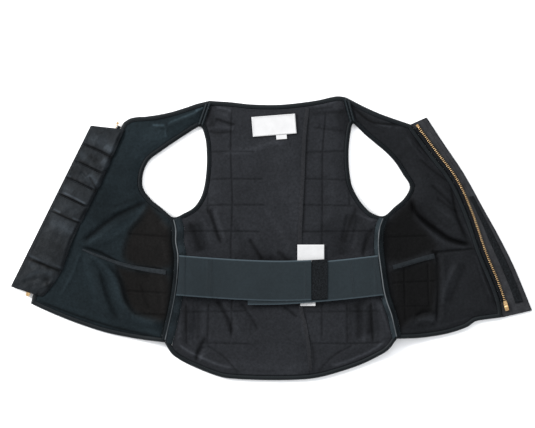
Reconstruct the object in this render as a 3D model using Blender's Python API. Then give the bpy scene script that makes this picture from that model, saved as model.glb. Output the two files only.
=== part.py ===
"""Protective rodeo vest, unzipped and lying open on its outer face with the lining up.

Metres, +Z up. The origin is the middle of the back panel on its flat underside, +Y runs to
the neck and +X to the front that carries the open zip chain. Every outline is a table of
shares: across is 0 on the middle of the back, 1 at the foot of a side seam and 2 at the far
end of a front, negative on the left; down is 0 at the neck edge and 1 at the back hem.
"""

import math

import bmesh
import bpy
from mathutils import Matrix, Vector
from mathutils.bvhtree import BVHTree

# Sizes of the vest as it lies
BACK_LENGTH = 0.524
BACK_WIDTH = 0.439
FRONT_WIDTH = 0.2565
GAP = 0.0003
DOWN = Vector((0, 0, -1))

# Padding
PAD_THICKNESS = 0.013
EDGE_THICKNESS = 0.008
PAD_ROLL = 0.026
QUILT_RISE = 0.0016
FOLD_WIDTH = 0.022
FOLD_HEIGHT = 0.006

# Edge bindings and shoulder seams
BINDING_WIDTH = 0.0085
BINDING_HEIGHT = 0.0095
SHOULDER_SEAM_WIDTH = 0.010
SHOULDER_WELT_HEIGHT = 0.0145

# Side seams, which stand up as tents with a piping on the crest
SEAM_LIFT = 0.012
SEAM_SPREAD = 0.045
SEAM_CREST = 0.016
SEAM_WALL = 0.0025
SEAM_FADE = 2.0
CLEAR_STEPS = 400
CLEAR_STEP = 0.01
PIPING_RADIUS = 0.0019

# Elastic belt over the back
BELT_WIDTH = 0.0762
BELT_THICKNESS = 0.0018
BELT_MIDDLE_HEIGHT = 0.0195
BELT_END_HEIGHT = 0.0285
BELT_RISE_LENGTH = 0.06
HOOK_PATCH_LENGTH = 0.030
HOOK_PATCH_THICKNESS = 0.0014

# Labels and sewn strips
LABEL_THICKNESS = 0.0008
NECK_LABEL_WIDTH = 0.083
NECK_LABEL_HEIGHT = 0.0375
SIZE_TAB_WIDTH = 0.020
SIZE_TAB_HEIGHT = 0.0085
CARE_LABEL_WIDTH = 0.0507
CARE_LABEL_LENGTH = 0.062
CARE_TAIL_WIDTH = 0.0285
CARE_TAIL_LENGTH = 0.054
STRIP_WIDTH = 0.0076
STRIP_THICKNESS = 0.0012
POCKET_BAND_WIDTH = 0.0095
POCKET_BAND_THICKNESS = 0.0015

# Zip guard flap on the left and placket on the right
FLAP_THICKNESS = 0.0048
FLAP_PAD_RISE = 0.0022
FLAP_CREASE_DEPTH = 0.0016
FLAP_HANG = 0.0045
PLACKET_THICKNESS = 0.003
PLACKET_CLEARANCE = 0.0005
HOOK_STRIP_THICKNESS = 0.0013
SEARCH_STEPS = 4

# Zip
TAPE_WIDTH = 0.0062
TAPE_THICKNESS = 0.0012
TAPE_HEIGHT = 0.0055
CHAIN_WIDTH = 0.005
CHAIN_THICKNESS = 0.0032
BEAD_SHARE = 0.4
TOOTH_PITCH = 0.0034
PIN_LENGTH = 0.019
PIN_WIDTH = 0.0075
PIN_THICKNESS = 0.0046
PIN_PROFILE = (
    # (share of the length, share of the width)
    (0.0, 0.75),
    (0.42, 1.0),
    (0.5, 0.7),
    (0.6, 1.0),
    (1.0, 0.9),
)
STOP_LENGTH = 0.005
STOP_HEIGHT_SHARE = 0.7

# Outer edge of the whole vest, clockwise. A name marks where one run ends and the next starts
OUTLINE = (
    # (mark, across, down)
    ("left_neck", -1.295, 0.064),
    ("", -1.229, 0.047),
    ("", -1.11, 0.042),
    ("", -0.926, 0.026),
    ("", -0.660, -0.010),
    ("left_shoulder", -0.605, -0.014),
    ("", -0.416, -0.009),
    ("", -0.236, -0.001),
    ("", 0.02, 0.0),
    ("", 0.31, -0.014),
    ("", 0.49, -0.030),
    ("right_shoulder", 0.578, -0.027),
    ("", 0.725, 0.005),
    ("", 0.874, 0.033),
    ("", 1.03, 0.057),
    ("right_neck", 1.12, 0.072),
    ("", 1.275, 0.176),
    ("", 1.43, 0.277),
    ("", 1.544, 0.398),
    ("", 1.639, 0.534),
    ("", 1.735, 0.648),
    ("", 1.785, 0.72),
    ("right_corner", 1.80, 0.772),
    ("", 1.607, 0.786),
    ("", 1.539, 0.807),
    ("", 1.394, 0.831),
    ("", 1.2, 0.846),
    ("right_side", 1.016, 0.849),
    ("", 0.939, 0.892),
    ("", 0.75, 0.936),
    ("", 0.577, 0.963),
    ("", 0.319, 0.992),
    ("", 0.026, 1.0),
    ("", -0.355, 0.996),
    ("", -0.547, 0.983),
    ("", -0.833, 0.932),
    ("", -0.955, 0.892),
    ("left_side", -0.989, 0.862),
    ("", -1.19, 0.85),
    ("", -1.42, 0.828),
    ("", -1.637, 0.794),
    ("", -1.828, 0.757),
    ("left_corner", -1.984, 0.722),
    ("", -1.955, 0.675),
    ("", -1.848, 0.564),
    ("", -1.67, 0.383),
    ("", -1.456, 0.209),
)

# Armholes from the shoulder seam down to the side seam, once along the back, once along a front
ARMHOLES = {
    # side: {panel: (across, down), ...}
    "left": {
        "back": ((-0.679, 0.075), (-0.640, 0.115), (-0.625, 0.19), (-0.634, 0.26),
                 (-0.665, 0.325), (-0.735, 0.372), (-0.835, 0.397), (-0.915, 0.408)),
        "front": ((-0.679, 0.075), (-0.79, 0.104), (-1.0, 0.163), (-1.114, 0.207),
                  (-1.15, 0.25), (-1.142, 0.316), (-1.025, 0.370), (-0.915, 0.408)),
    },
    "right": {
        "back": ((0.636, 0.063), (0.612, 0.125), (0.603, 0.194), (0.623, 0.279),
                 (0.672, 0.33), (0.77, 0.384), (0.845, 0.399), (0.905, 0.404)),
        "front": ((0.636, 0.063), (0.72, 0.10), (0.838, 0.142), (0.973, 0.192),
                  (1.045, 0.24), (1.115, 0.30), (1.075, 0.338), (0.905, 0.404)),
    },
}

# The tips of the armholes are rounded: where the arcs end, and how far the tip stands out
ARMHOLE_TIP = 0.009
ARMHOLE_TIP_POINT = 0.6

# Side seams between armhole and hem; their first and last points are on those edges
SIDE_SEAMS = {
    # side: (across, down), ...
    "left": ((-0.887, 0.44), (-0.90, 0.475), (-0.872, 0.546), (-0.883, 0.64),
             (-0.913, 0.722), (-0.956, 0.804)),
    "right": ((0.872, 0.44), (0.856, 0.507), (0.868, 0.559), (0.893, 0.636),
              (0.918, 0.698), (0.967, 0.756)),
}

# Width of each seam tent towards the back and towards the front
SEAM_TENTS = {"left": (0.015, 0.008), "right": (0.008, 0.010)}

# Cells of the panels' grids along each run
BACK_CELLS = 18
FRONT_CELLS = 12
SHOULDER_CELLS = 2
ARMHOLE_CELLS = 10
SIDE_CELLS = 10
EDGE_CELLS = SHOULDER_CELLS + ARMHOLE_CELLS + SIDE_CELLS
YOKE_CELL = 0.14
TOP_BOW_FADE = 6
HEM_BOW_FADE = 2

# Folds of the lining: ridges where height is positive, creases where it is negative
FOLDS = {
    # panel: (across, down, to across, to down, width, height), ...
    "back": (
        (-0.49, 0.180, 0.08, 0.150, 0.7, 0.25),
        (-0.58, 0.386, -0.49, 0.495, 0.6, -0.45),
        (-0.26, 0.49, -0.13, 0.565, 0.7, -0.35),
        (0.61, 0.397, 0.54, 0.495, 0.6, -0.45),
        (0.77, 0.466, 0.73, 0.54, 0.6, 0.3),
        (-0.54, 0.70, -0.40, 0.83, 0.7, -0.5),
        (-0.33, 0.72, -0.18, 0.82, 0.6, -0.4),
        (-0.71, 0.925, -0.66, 0.88, 0.6, -0.6),
        (0.68, 0.90, 0.46, 0.95, 0.6, -0.35),
    ),
    "left_front": (
        (-1.154, 0.345, -1.59, 0.499, 0.5, -0.6),
        (-1.11, 0.395, -1.55, 0.535, 0.8, 0.5),
        (-1.58, 0.55, -1.30, 0.70, 1.1, 0.9),
        (-1.30, 0.70, -1.05, 0.78, 0.9, 0.7),
        (-1.10, 0.60, -1.16, 0.72, 1.1, -0.7),
        (-1.47, 0.665, -1.37, 0.774, 0.6, 0.4),
    ),
    "right_front": (
        (1.107, 0.118, 1.19, 0.19, 0.7, 0.5),
        (1.19, 0.19, 1.40, 0.269, 0.8, 0.7),
        (1.40, 0.269, 1.46, 0.403, 0.8, 0.8),
        (1.46, 0.403, 1.56, 0.50, 0.8, 0.7),
        (1.13, 0.341, 1.247, 0.429, 0.7, -0.8),
        (1.247, 0.429, 1.426, 0.491, 0.7, -0.8),
        (1.29, 0.535, 1.596, 0.525, 0.6, 0.6),
        (1.315, 0.55, 1.315, 0.79, 0.5, -0.5),
    ),
}

# Sewn strips on the lining
CLOSURE_PATH = ((0.24, 0.035), (0.218, 0.12), (0.205, 0.26), (0.188, 0.40), (0.18, 0.52),
                (0.185, 0.72), (0.225, 0.80), (0.255, 0.88), (0.27, 0.955))
POCKET_BAND_PATHS = {
    "left": ((-1.60, 0.525), (-1.50, 0.545), (-1.32, 0.577), (-1.165, 0.595), (-0.975, 0.609)),
    "right": ((0.985, 0.590), (1.08, 0.578), (1.19, 0.562), (1.295, 0.549)),
}

# Zip guard on the left: its two long edges, and where each crease meets them
FLAP_OUTER_EDGE = ((-1.539, 0.076), (-1.84, 0.372), (-2.132, 0.66))
FLAP_INNER_EDGE = ((-1.285, 0.090), (-1.335, 0.143), (-1.448, 0.274), (-1.537, 0.364),
                   (-1.67, 0.491), (-1.745, 0.603), (-1.84, 0.672), (-1.90, 0.697))
FLAP_CREASES = (
    # (share down the outer edge, share down the inner edge)
    (0.0, 0.0),
    (0.11, 0.163),
    (0.217, 0.26),
    (0.32, 0.36),
    (0.42, 0.457),
    (0.53, 0.56),
    (0.81, 0.83),
    (1.0, 1.0),
)
FLAP_COLUMNS = (0.0, 0.10, 0.36, 0.66, 0.90, 1.0)
FLAP_PAD_ROWS = (
    # (share of the way from crease to crease, share of the pad's height)
    (0.0, 0.0),
    (0.14, 0.85),
    (0.5, 1.0),
    (0.86, 0.85),
)

# Placket on the right, and the rows of its grid that the hook strip covers
PLACKET_OUTER_EDGE = ((1.238, 0.046), (1.364, 0.14), (1.512, 0.248), (1.66, 0.378),
                      (1.776, 0.480), (1.893, 0.595), (2.021, 0.747))
PLACKET_COLUMNS = (0.0, 0.3, 0.52, 0.82, 1.0)
HOOK_STRIP_COLUMNS = (2, 3)
HOOK_STRIP_START = 0.42

# Shares of the front edges that the zip halves take, from the neck to the hem
ZIP_SPANS = {"left": (0.026, 0.92), "right": (0.03, 0.925)}
LEFT_TEETH_SHOWN = (0.06, 0.95)
HIDDEN_TEETH_TO_A_CELL = 5

# Where belts and labels lie
BELT_SEAM_DOWN = 0.618
BELT_MIDDLE_DOWN = 0.639
BELT_LEFT_END = 0.28
BELT_RIGHT_TAIL = -0.27
BELT_TAIL_DROP = 0.009
BELT_BOW_WIDTH = 0.88
BELT_BOW_POWER = 1.6
BELT_ROWS = (0.5, 0.25, 0.0, -0.25, -0.5)
NECK_LABEL_PLACE = (-0.043, 0.0755)
NECK_LABEL_TILT = math.radians(4.5)
SIZE_TAB_SHARE = 0.15
CARE_LABEL_PLACE = (0.275, 0.508)


# Curves in the plane

def spot(across, down):
    """Place in the plane of a point given in shares."""
    side = math.copysign(1, across)
    share = abs(across)
    x = side * (min(share, 1) * BACK_WIDTH / 2 + max(share - 1, 0) * FRONT_WIDTH)
    return Vector((x, BACK_LENGTH * (0.5 - down)))


def spline(points, steps=12):
    """Smooth chain of points through the given ones."""
    ends = [points[0] * 2 - points[1], *points, points[-1] * 2 - points[-2]]
    chain = []
    for a, b, c, d in zip(ends, ends[1:], ends[2:], ends[3:]):
        for step in range(steps):
            t = step / steps
            square = (a * 2 - b * 5 + c * 4 - d) * t ** 2
            cube = (b * 3 - a - c * 3 + d) * t ** 3
            chain.append((b * 2 + (c - a) * t + square + cube) / 2)
    chain.append(points[-1].copy())
    return chain


def lengths(chain):
    """Running length at each point of a chain."""
    run = [0.0]
    for a, b in zip(chain, chain[1:]):
        run.append(run[-1] + (b - a).length)
    return run


def at_share(chain, share):
    """Point at a share of a chain's length."""
    run = lengths(chain)
    wanted = share * run[-1]
    for index in range(1, len(chain)):
        if run[index] >= wanted:
            step = (wanted - run[index - 1]) / max(run[index] - run[index - 1], 1e-9)
            return chain[index - 1].lerp(chain[index], step)
    return chain[-1].copy()


def sampled(chain, shares):
    return [at_share(chain, share) for share in shares]


def even_shares(cells):
    return [index / cells for index in range(cells + 1)]


def stepped_shares(cells, first, last):
    """Shares of a run whose first and last cells have a length of their own."""
    inner = [first + (1 - first - last) * share for share in even_shares(cells - 2)]
    return [0.0, *inner, 1.0]


def right_of(direction):
    return Vector((direction.y, -direction.x))


def offset_corner(before, after, width_before, width_after):
    """Move of a corner whose two sides each go to their right by their own width."""
    a = right_of(before) * width_before
    b = right_of(after) * width_after
    turn = before.x * after.y - before.y * after.x
    if abs(turn) < 0.04:
        return (a + b) / 2
    gap = b - a
    return a + before * ((gap.x * after.y - gap.y * after.x) / turn)


def inset_ring(points, widths):
    """Closed outline with each side moved to its right by its own width."""
    count = len(points)
    moved = []
    for index, point in enumerate(points):
        before = (point - points[index - 1]).normalized()
        after = (points[(index + 1) % count] - point).normalized()
        moved.append(point + offset_corner(before, after, widths[index - 1], widths[index]))
    return moved


def offset_chain(points, width):
    """Open chain moved to its right."""
    moved = []
    last = len(points) - 1
    for index, point in enumerate(points):
        before = (point - points[max(index - 1, 0)]).normalized()
        after = (points[min(index + 1, last)] - point).normalized()
        if index == 0:
            before = after
        if index == last:
            after = before
        moved.append(point + offset_corner(before, after, width, width))
    return moved


def distance(point, chain):
    """Distance from a point to a chain."""
    nearest = math.inf
    for a, b in zip(chain, chain[1:]):
        side = b - a
        share = max(0.0, min(1.0, (point - a).dot(side) / max(side.length_squared, 1e-12)))
        nearest = min(nearest, (point - a - side * share).length)
    return nearest


def inside(point, ring):
    """Whether a point is inside a closed outline."""
    within = False
    for a, b in zip(ring, ring[1:] + ring[:1]):
        if (a.y > point.y) != (b.y > point.y):
            if point.x < a.x + (point.y - a.y) / (b.y - a.y) * (b.x - a.x):
                within = not within
    return within


# Outlines shared by the panels and what borders them

def outline_runs():
    """Runs of the outer edge between its marks, as sampled chains."""
    cells = {
        "left_neck": FRONT_CELLS,
        "left_shoulder": BACK_CELLS,
        "right_shoulder": FRONT_CELLS,
        "right_neck": EDGE_CELLS,
        "right_corner": FRONT_CELLS,
        "right_side": BACK_CELLS,
        "left_side": FRONT_CELLS,
        "left_corner": EDGE_CELLS,
    }
    points = [spot(across, down) for _, across, down in OUTLINE]
    starts = [index for index, row in enumerate(OUTLINE) if row[0]]
    runs = {}
    for start, end in zip(starts, starts[1:] + [len(OUTLINE)]):
        mark = OUTLINE[start][0]
        chain = spline(points[start:end] + [points[end % len(points)]])
        even = 1 / cells[mark]
        first = YOKE_CELL if mark == "right_shoulder" else even
        last = YOKE_CELL if mark == "left_neck" else even
        runs[mark] = sampled(chain, stepped_shares(cells[mark], first, last))
    return runs


def arm_arcs(side):
    """The back and front arcs of an armhole, each from its rounded tip down."""
    chains = {}
    for panel, rows in ARMHOLES[side].items():
        chains[panel] = spline([spot(across, down) for across, down in rows])
    starts = {panel: ARMHOLE_TIP / lengths(chain)[-1] for panel, chain in chains.items()}
    first = at_share(chains["back"], starts["back"])
    second = at_share(chains["front"], starts["front"])
    middle = (first + second) / 2
    tip = middle.lerp(chains["back"][0], ARMHOLE_TIP_POINT)
    arcs = {}
    for panel, chain in chains.items():
        shares = [starts[panel] + (1 - starts[panel]) * share
                  for share in even_shares(ARMHOLE_CELLS - 1)]
        arcs[panel] = [tip] + sampled(chain, shares)
    return arcs


RUNS = outline_runs()
OUTER_RING = [point for run in RUNS.values() for point in run[:-1]]
ARCS = {side: arm_arcs(side) for side in ("left", "right")}
ARM_RINGS = {
    "left": ARCS["left"]["back"][:-1] + ARCS["left"]["front"][:0:-1],
    "right": ARCS["right"]["front"][:-1] + ARCS["right"]["back"][:0:-1],
}


def seam_chain(side):
    """Line of a side seam from the armhole to the hem."""
    rows = [spot(across, down) for across, down in SIDE_SEAMS[side]]
    return spline([ARCS[side]["back"][-1], *rows, RUNS[f"{side}_side"][0]])


SIDE_LINES = {side: seam_chain(side) for side in ("left", "right")}
SHOULDER_LINES = {
    side: [RUNS[f"{side}_shoulder"][0], ARCS[side]["back"][0]] for side in ("left", "right")
}


def lift(point):
    """Height of the underside over the floor, which is nothing but near the side seams."""
    nearest = min(distance(point, chain) for chain in SIDE_LINES.values())
    rise = math.exp(-((nearest / SEAM_SPREAD) ** 2))
    floor = math.exp(-(SEAM_FADE ** 2))
    return SEAM_LIFT * max(0.0, rise - floor) / (1 - floor)


# Solids

def wear(name, mesh, colour, roughness, metallic):
    """Object of a finished mesh, with a material of its own."""
    finish = bpy.data.materials.new(name)
    finish.use_nodes = True
    shader = finish.node_tree.nodes["Principled BSDF"]
    shader.inputs["Base Color"].default_value = (*colour, 1)
    shader.inputs["Roughness"].default_value = roughness
    shader.inputs["Metallic"].default_value = metallic
    mesh.materials.append(finish)
    part = bpy.data.objects.new(name, mesh)
    bpy.context.scene.collection.objects.link(part)
    return part


def solid(name, points, faces, look, flat_floor=False):
    """Closed solid facing out. The triangles of a flat underside become one face."""
    mesh = bpy.data.meshes.new(name)
    model = bmesh.new()
    corners = [model.verts.new(point) for point in points]
    for face in faces:
        model.faces.new([corners[index] for index in face])
    if flat_floor:
        floor = [face for face in model.faces if all(v.co.z < 1e-6 for v in face.verts)]
        edges = {edge for face in floor for edge in face.edges}
        inner = [edge for edge in edges if all(face in floor for face in edge.link_faces)]
        bmesh.ops.dissolve_edges(model, edges=inner, use_verts=True)
    bmesh.ops.recalc_face_normals(model, faces=model.faces)
    model.to_mesh(mesh)
    model.free()
    return wear(name, mesh, *look)


def slab(name, top, bottom, look, flat_floor=False):
    """Solid between two grids of points of the same shape."""
    rows = len(top)
    columns = len(top[0])
    points = [point for grid in (top, bottom) for row in grid for point in row]
    under = rows * columns

    def key(row, column):
        return row * columns + column

    faces = []
    for row in range(rows - 1):
        for column in range(columns - 1):
            face = (key(row, column), key(row, column + 1),
                    key(row + 1, column + 1), key(row + 1, column))
            faces.append(face)
            faces.append(tuple(under + index for index in reversed(face)))
    rim = [key(0, column) for column in range(columns)]
    rim += [key(row, columns - 1) for row in range(1, rows)]
    rim += [key(rows - 1, column) for column in range(columns - 2, -1, -1)]
    rim += [key(row, 0) for row in range(rows - 2, 0, -1)]
    for a, b in zip(rim, rim[1:] + rim[:1]):
        faces.append((a, b, under + b, under + a))
    return solid(name, points, faces, look, flat_floor)


def sweep(name, stations, look, closed=False):
    """Solid through rings of points, one ring to a station."""
    count = len(stations)
    sides = len(stations[0])
    points = [point for station in stations for point in station]
    faces = []
    for index in range(count if closed else count - 1):
        here = index * sides
        there = (index + 1) % count * sides
        for corner in range(sides):
            after = (corner + 1) % sides
            faces.append((here + corner, here + after, there + after, there + corner))
    if not closed:
        faces.append(tuple(range(sides)))
        faces.append(tuple((count - 1) * sides + corner for corner in range(sides)))
    return solid(name, points, faces, look)


def raised(point, height):
    return Vector((point.x, point.y, height))


def shortened(stations, cut):
    """Stations with the first and the last moved inwards by a small cut."""
    stations[0] = [a + (b - a).normalized() * cut for a, b in zip(*stations[:2])]
    stations[-1] = [b + (a - b).normalized() * cut for a, b in zip(*stations[-2:])]
    return stations


def surface_of(*parts):
    """Search tree over the faces of finished solids."""
    points = []
    faces = []
    for part in parts:
        start = len(points)
        points += [corner.co for corner in part.data.vertices]
        faces += [[start + index for index in face.vertices] for face in part.data.polygons]
    return BVHTree.FromPolygons(points, faces)


def height_over(surface, point, reach):
    """Highest place of a surface within reach of a point, or None where it has none."""
    highest = None
    for column in range(-SEARCH_STEPS, SEARCH_STEPS + 1):
        for row in range(-SEARCH_STEPS, SEARCH_STEPS + 1):
            x = point.x + reach * column / SEARCH_STEPS
            y = point.y + reach * row / SEARCH_STEPS
            hit = surface.ray_cast(Vector((x, y, 1)), DOWN)[0]
            if hit is not None and (highest is None or hit.z > highest):
                highest = hit.z
    return highest


def seat(part, *below):
    """Lower a piece as a whole until it lies just over the nearest place beneath it."""
    room = math.inf
    under = surface_of(*below)
    for corner in part.data.vertices:
        hit = under.ray_cast(corner.co + DOWN * GAP / 2, DOWN)[0]
        if hit is not None:
            room = min(room, corner.co.z - hit.z)
    over = surface_of(part)
    for other in below:
        for corner in other.data.vertices:
            hit = over.ray_cast(corner.co, -DOWN)[0]
            if hit is not None:
                room = min(room, hit.z - corner.co.z)
    part.data.transform(Matrix.Translation(DOWN * (room - 2 * GAP)))
    return part


# Looks of the pieces: colour, roughness, metallic
LINING_WARM = ((0.022, 0.021, 0.021), 0.75, 0.0)
LINING_BLUE = ((0.014, 0.017, 0.021), 0.75, 0.0)
LINING_BLACK = ((0.014, 0.014, 0.016), 0.75, 0.0)
BINDING = ((0.012, 0.014, 0.017), 0.5, 0.0)
SEAM_CLOTH = ((0.028, 0.036, 0.043), 0.7, 0.0)
PIPING = ((0.18, 0.20, 0.22), 0.6, 0.0)
ELASTIC = ((0.024, 0.031, 0.037), 0.8, 0.0)
HOOK = ((0.006, 0.006, 0.007), 0.9, 0.0)
LABEL = ((0.85, 0.86, 0.87), 0.6, 0.0)
LEATHER = ((0.022, 0.024, 0.027), 0.42, 0.0)
TAPE = ((0.010, 0.011, 0.013), 0.8, 0.0)
BRASS = ((0.62, 0.47, 0.26), 0.32, 1.0)


# Panels

def shares_of(chain):
    run = lengths(chain)
    return [length / run[-1] for length in run]


def coons(top, right, bottom, left):
    """Grid that fills four sides; top and bottom run left to right, the others down."""
    across_top = shares_of(top)
    across_bottom = shares_of(bottom)
    down_left = shares_of(left)
    down_right = shares_of(right)
    grid = []
    for row in range(len(left)):
        step = row / (len(left) - 1)
        line = []
        for column in range(len(top)):
            u = across_top[column] + (across_bottom[column] - across_top[column]) * step
            v = down_left[row] + (down_right[row] - down_left[row]) * u
            bow_top = top[column] - top[0].lerp(top[-1], across_top[column])
            bow_bottom = bottom[column] - bottom[0].lerp(bottom[-1], across_bottom[column])
            bow = bow_top * (1 - v) ** TOP_BOW_FADE + bow_bottom * v ** HEM_BOW_FADE
            line.append(left[row].lerp(right[row], u) + bow)
        grid.append(line)
    return grid


def relief(panel, point):
    """Height that the folds of a panel's lining add at a point."""
    total = 0.0
    for across, down, to_across, to_down, width, height in FOLDS[panel]:
        away = distance(point, [spot(across, down), spot(to_across, to_down)])
        total += height * FOLD_HEIGHT * math.exp(-((away / (width * FOLD_WIDTH)) ** 2))
    return total


def panel_outline(sides):
    """Inset outline of a panel; sides are (chain, width) in clockwise order."""
    points = []
    widths = []
    for chain, width in sides:
        points += chain[:-1]
        widths += [width] * (len(chain) - 1)
    return inset_ring(points, widths)


def panel_solid(name, sides, counts, look):
    """Padded panel. counts are the cells of its top, right, bottom and left side."""
    ring = panel_outline(sides)
    ring.append(ring[0])
    corners = [0]
    for count in counts:
        corners.append(corners[-1] + count)
    top, right, bottom, left = [ring[a:b + 1] for a, b in zip(corners, corners[1:])]
    grid = coons(top, right, bottom[::-1], left[::-1])
    upper = []
    lower = []
    for row, line in enumerate(grid):
        upper.append([])
        lower.append([])
        for column, point in enumerate(line):
            edge = distance(point, ring)
            share = min(edge / PAD_ROLL, 1)
            eased = share * (2 - share)
            base = lift(point)
            pillow = QUILT_RISE * ((row % 2) + (column % 2)) / 2
            height = EDGE_THICKNESS + (PAD_THICKNESS - EDGE_THICKNESS) * eased
            height += eased * (pillow + relief(name.removesuffix("_panel"), point))
            upper[-1].append(raised(point, base + height))
            lower[-1].append(raised(point, base))
    return slab(name, upper, lower, look, flat_floor=True)


def side_cells(side):
    """The seams between back and front, as sampled chains from the neck down."""
    shoulder = sampled(SHOULDER_LINES[side], even_shares(SHOULDER_CELLS))
    seam = sampled(SIDE_LINES[side], even_shares(SIDE_CELLS))
    return shoulder, seam


def make_panels():
    edge = BINDING_WIDTH + GAP
    welt = SHOULDER_SEAM_WIDTH / 2 + 2 * GAP
    left_shoulder, left_seam = side_cells("left")
    right_shoulder, right_seam = side_cells("right")
    tents = {side: [width + GAP for width in SEAM_TENTS[side]] for side in SEAM_TENTS}
    back = panel_solid(
        "back_panel",
        [
            (RUNS["left_shoulder"], edge),
            (right_shoulder, welt),
            (ARCS["right"]["back"], edge),
            (right_seam, tents["right"][0]),
            (RUNS["right_side"], edge),
            (left_seam[::-1], tents["left"][0]),
            (ARCS["left"]["back"][::-1], edge),
            (left_shoulder[::-1], welt),
        ],
        (BACK_CELLS, EDGE_CELLS, BACK_CELLS, EDGE_CELLS),
        LINING_WARM,
    )
    left = panel_solid(
        "left_front_panel",
        [
            (RUNS["left_neck"], edge),
            (left_shoulder, welt),
            (ARCS["left"]["front"], edge),
            (left_seam, tents["left"][1]),
            (RUNS["left_side"], edge),
            (RUNS["left_corner"], edge),
        ],
        (FRONT_CELLS, EDGE_CELLS, FRONT_CELLS, EDGE_CELLS),
        LINING_BLUE,
    )
    right = panel_solid(
        "right_front_panel",
        [
            (RUNS["right_shoulder"], edge),
            (RUNS["right_neck"], edge),
            (RUNS["right_corner"], edge),
            (right_seam[::-1], tents["right"][1]),
            (ARCS["right"]["front"][::-1], edge),
            (right_shoulder[::-1], welt),
        ],
        (FRONT_CELLS, EDGE_CELLS, FRONT_CELLS, EDGE_CELLS),
        LINING_BLACK,
    )
    return back, left, right


# Bindings

def binding_lines(ring, side=1):
    """Profile of a folded binding round a ring: one ring of points to each profile corner."""
    profile = (
        # (share of width, share of height)
        (0.0, 0.25),
        (0.14, 0.0),
        (1.0, 0.0),
        (1.0, 0.90),
        (0.55, 1.0),
        (0.10, 0.80),
    )
    lines = []
    for across, up in profile:
        width = side * across * BINDING_WIDTH
        line = inset_ring(ring, [width] * len(ring))
        lines.append([raised(p, lift(p) + up * BINDING_HEIGHT) for p in line])
    return lines


def make_bindings():
    lines = binding_lines(OUTER_RING)
    starts = {}
    index = 0
    for mark, run in RUNS.items():
        starts[mark] = index
        index += len(run) - 1
    spans = {
        "back_neck_binding": ("left_shoulder", "right_shoulder"),
        "right_front_binding": ("right_shoulder", "right_side"),
        "back_hem_binding": ("right_side", "left_side"),
        "left_front_binding": ("left_side", "left_shoulder"),
    }
    total = len(OUTER_RING)
    made = {}
    for name, (first, last) in spans.items():
        count = (starts[last] - starts[first]) % total
        places = [(starts[first] + step) % total for step in range(count + 1)]
        stations = [[line[place] for line in lines] for place in places]
        made[name] = sweep(name, shortened(stations, GAP / 2), BINDING)
    for side, ring in ARM_RINGS.items():
        lines = binding_lines(ring, -1)
        stations = [[line[place] for line in lines] for place in range(len(ring))]
        made[f"{side}_armhole_binding"] = sweep(
            f"{side}_armhole_binding", stations, BINDING, closed=True)
    return made


# Seams

def clear_span(chain, reaches, side):
    """The part of a seam line that lies clear of the bindings at both of its ends."""
    room = BINDING_WIDTH + 2 * GAP
    edge = inset_ring(OUTER_RING, [room] * len(OUTER_RING))
    hole = inset_ring(ARM_RINGS[side], [-room] * len(ARM_RINGS[side]))
    clear = []
    for share in even_shares(CLEAR_STEPS):
        here = at_share(chain, share)
        ahead = at_share(chain, min(share + CLEAR_STEP, 1))
        behind = at_share(chain, max(share - CLEAR_STEP, 0))
        across = right_of((ahead - behind).normalized())
        width = [across * reach * step for reach in reaches for step in even_shares(6)]
        if all(inside(here + move, edge) and not inside(here + move, hole) for move in width):
            clear.append(share)
    return clear[0], clear[-1]


def make_side_seam(side):
    """Fabric tent between back and front, and the piping along its crest."""
    back, front = SEAM_TENTS[side]
    reaches = (-back, front) if side == "left" else (-front, back)
    cells = side_cells(side)[1]
    start, end = clear_span(cells, reaches, side)
    line = [at_share(cells, start), *cells[1:-1], at_share(cells, end)]
    low_left = offset_chain(line, reaches[0])
    low_right = offset_chain(line, reaches[1])
    stations = []
    pipes = []
    for middle, first, second in zip(line, low_left, low_right):
        crest = lift(middle) + SEAM_CREST
        first_top = lift(first) + EDGE_THICKNESS
        second_top = lift(second) + EDGE_THICKNESS
        stations.append([
            raised(first, first_top),
            raised(middle, crest),
            raised(second, second_top),
            raised(second, second_top - SEAM_WALL),
            raised(middle, crest - SEAM_WALL),
            raised(first, first_top - SEAM_WALL),
        ])
        axis = (second - first).normalized()
        ring = []
        for corner in range(6):
            angle = math.radians(60 * corner + 30)
            away = middle + axis * PIPING_RADIUS * math.cos(angle)
            up = crest + GAP + PIPING_RADIUS * (1 + math.sin(angle))
            ring.append(raised(away, up))
        pipes.append(ring)
    sweep(f"{side}_side_seam", stations, SEAM_CLOTH)
    sweep(f"{side}_side_piping", pipes, PIPING)


def make_shoulder_seam(side):
    """Welt with two ridges where back and front yoke meet."""
    half = SHOULDER_SEAM_WIDTH / 2
    chain = SHOULDER_LINES[side]
    start, end = clear_span(chain, (-half, half), side)
    line = sampled(chain, [start + (end - start) * share for share in even_shares(4)])
    profile = (
        # (share of half the width, share of the height)
        (-1.0, 0.0),
        (-1.0, 0.7),
        (-0.55, 1.0),
        (0.0, 0.72),
        (0.55, 1.0),
        (1.0, 0.7),
        (1.0, 0.0),
    )
    rows = [offset_chain(line, across * half) for across, _ in profile]
    stations = []
    for place in range(len(line)):
        stations.append([
            raised(row[place], lift(row[place]) + up * SHOULDER_WELT_HEIGHT)
            for row, (_, up) in zip(rows, profile)
        ])
    sweep(f"{side}_shoulder_seam", stations, BINDING)


# Strips sewn on the lining

def make_band(name, rows, width, thickness, surface, look, cells):
    """Flat band that follows a path over a surface."""
    line = sampled(spline([spot(across, down) for across, down in rows]), even_shares(cells))
    reach = (line[1] - line[0]).length
    sides = [offset_chain(line, share * width) for share in (-0.5, 0.5)]
    upper = []
    lower = []
    for place, middle in enumerate(line):
        height = height_over(surface, middle, reach) + 2 * GAP
        lower.append([raised(side[place], height) for side in sides])
        upper.append([raised(side[place], height + thickness) for side in sides])
    return slab(name, upper, lower, look)


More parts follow.
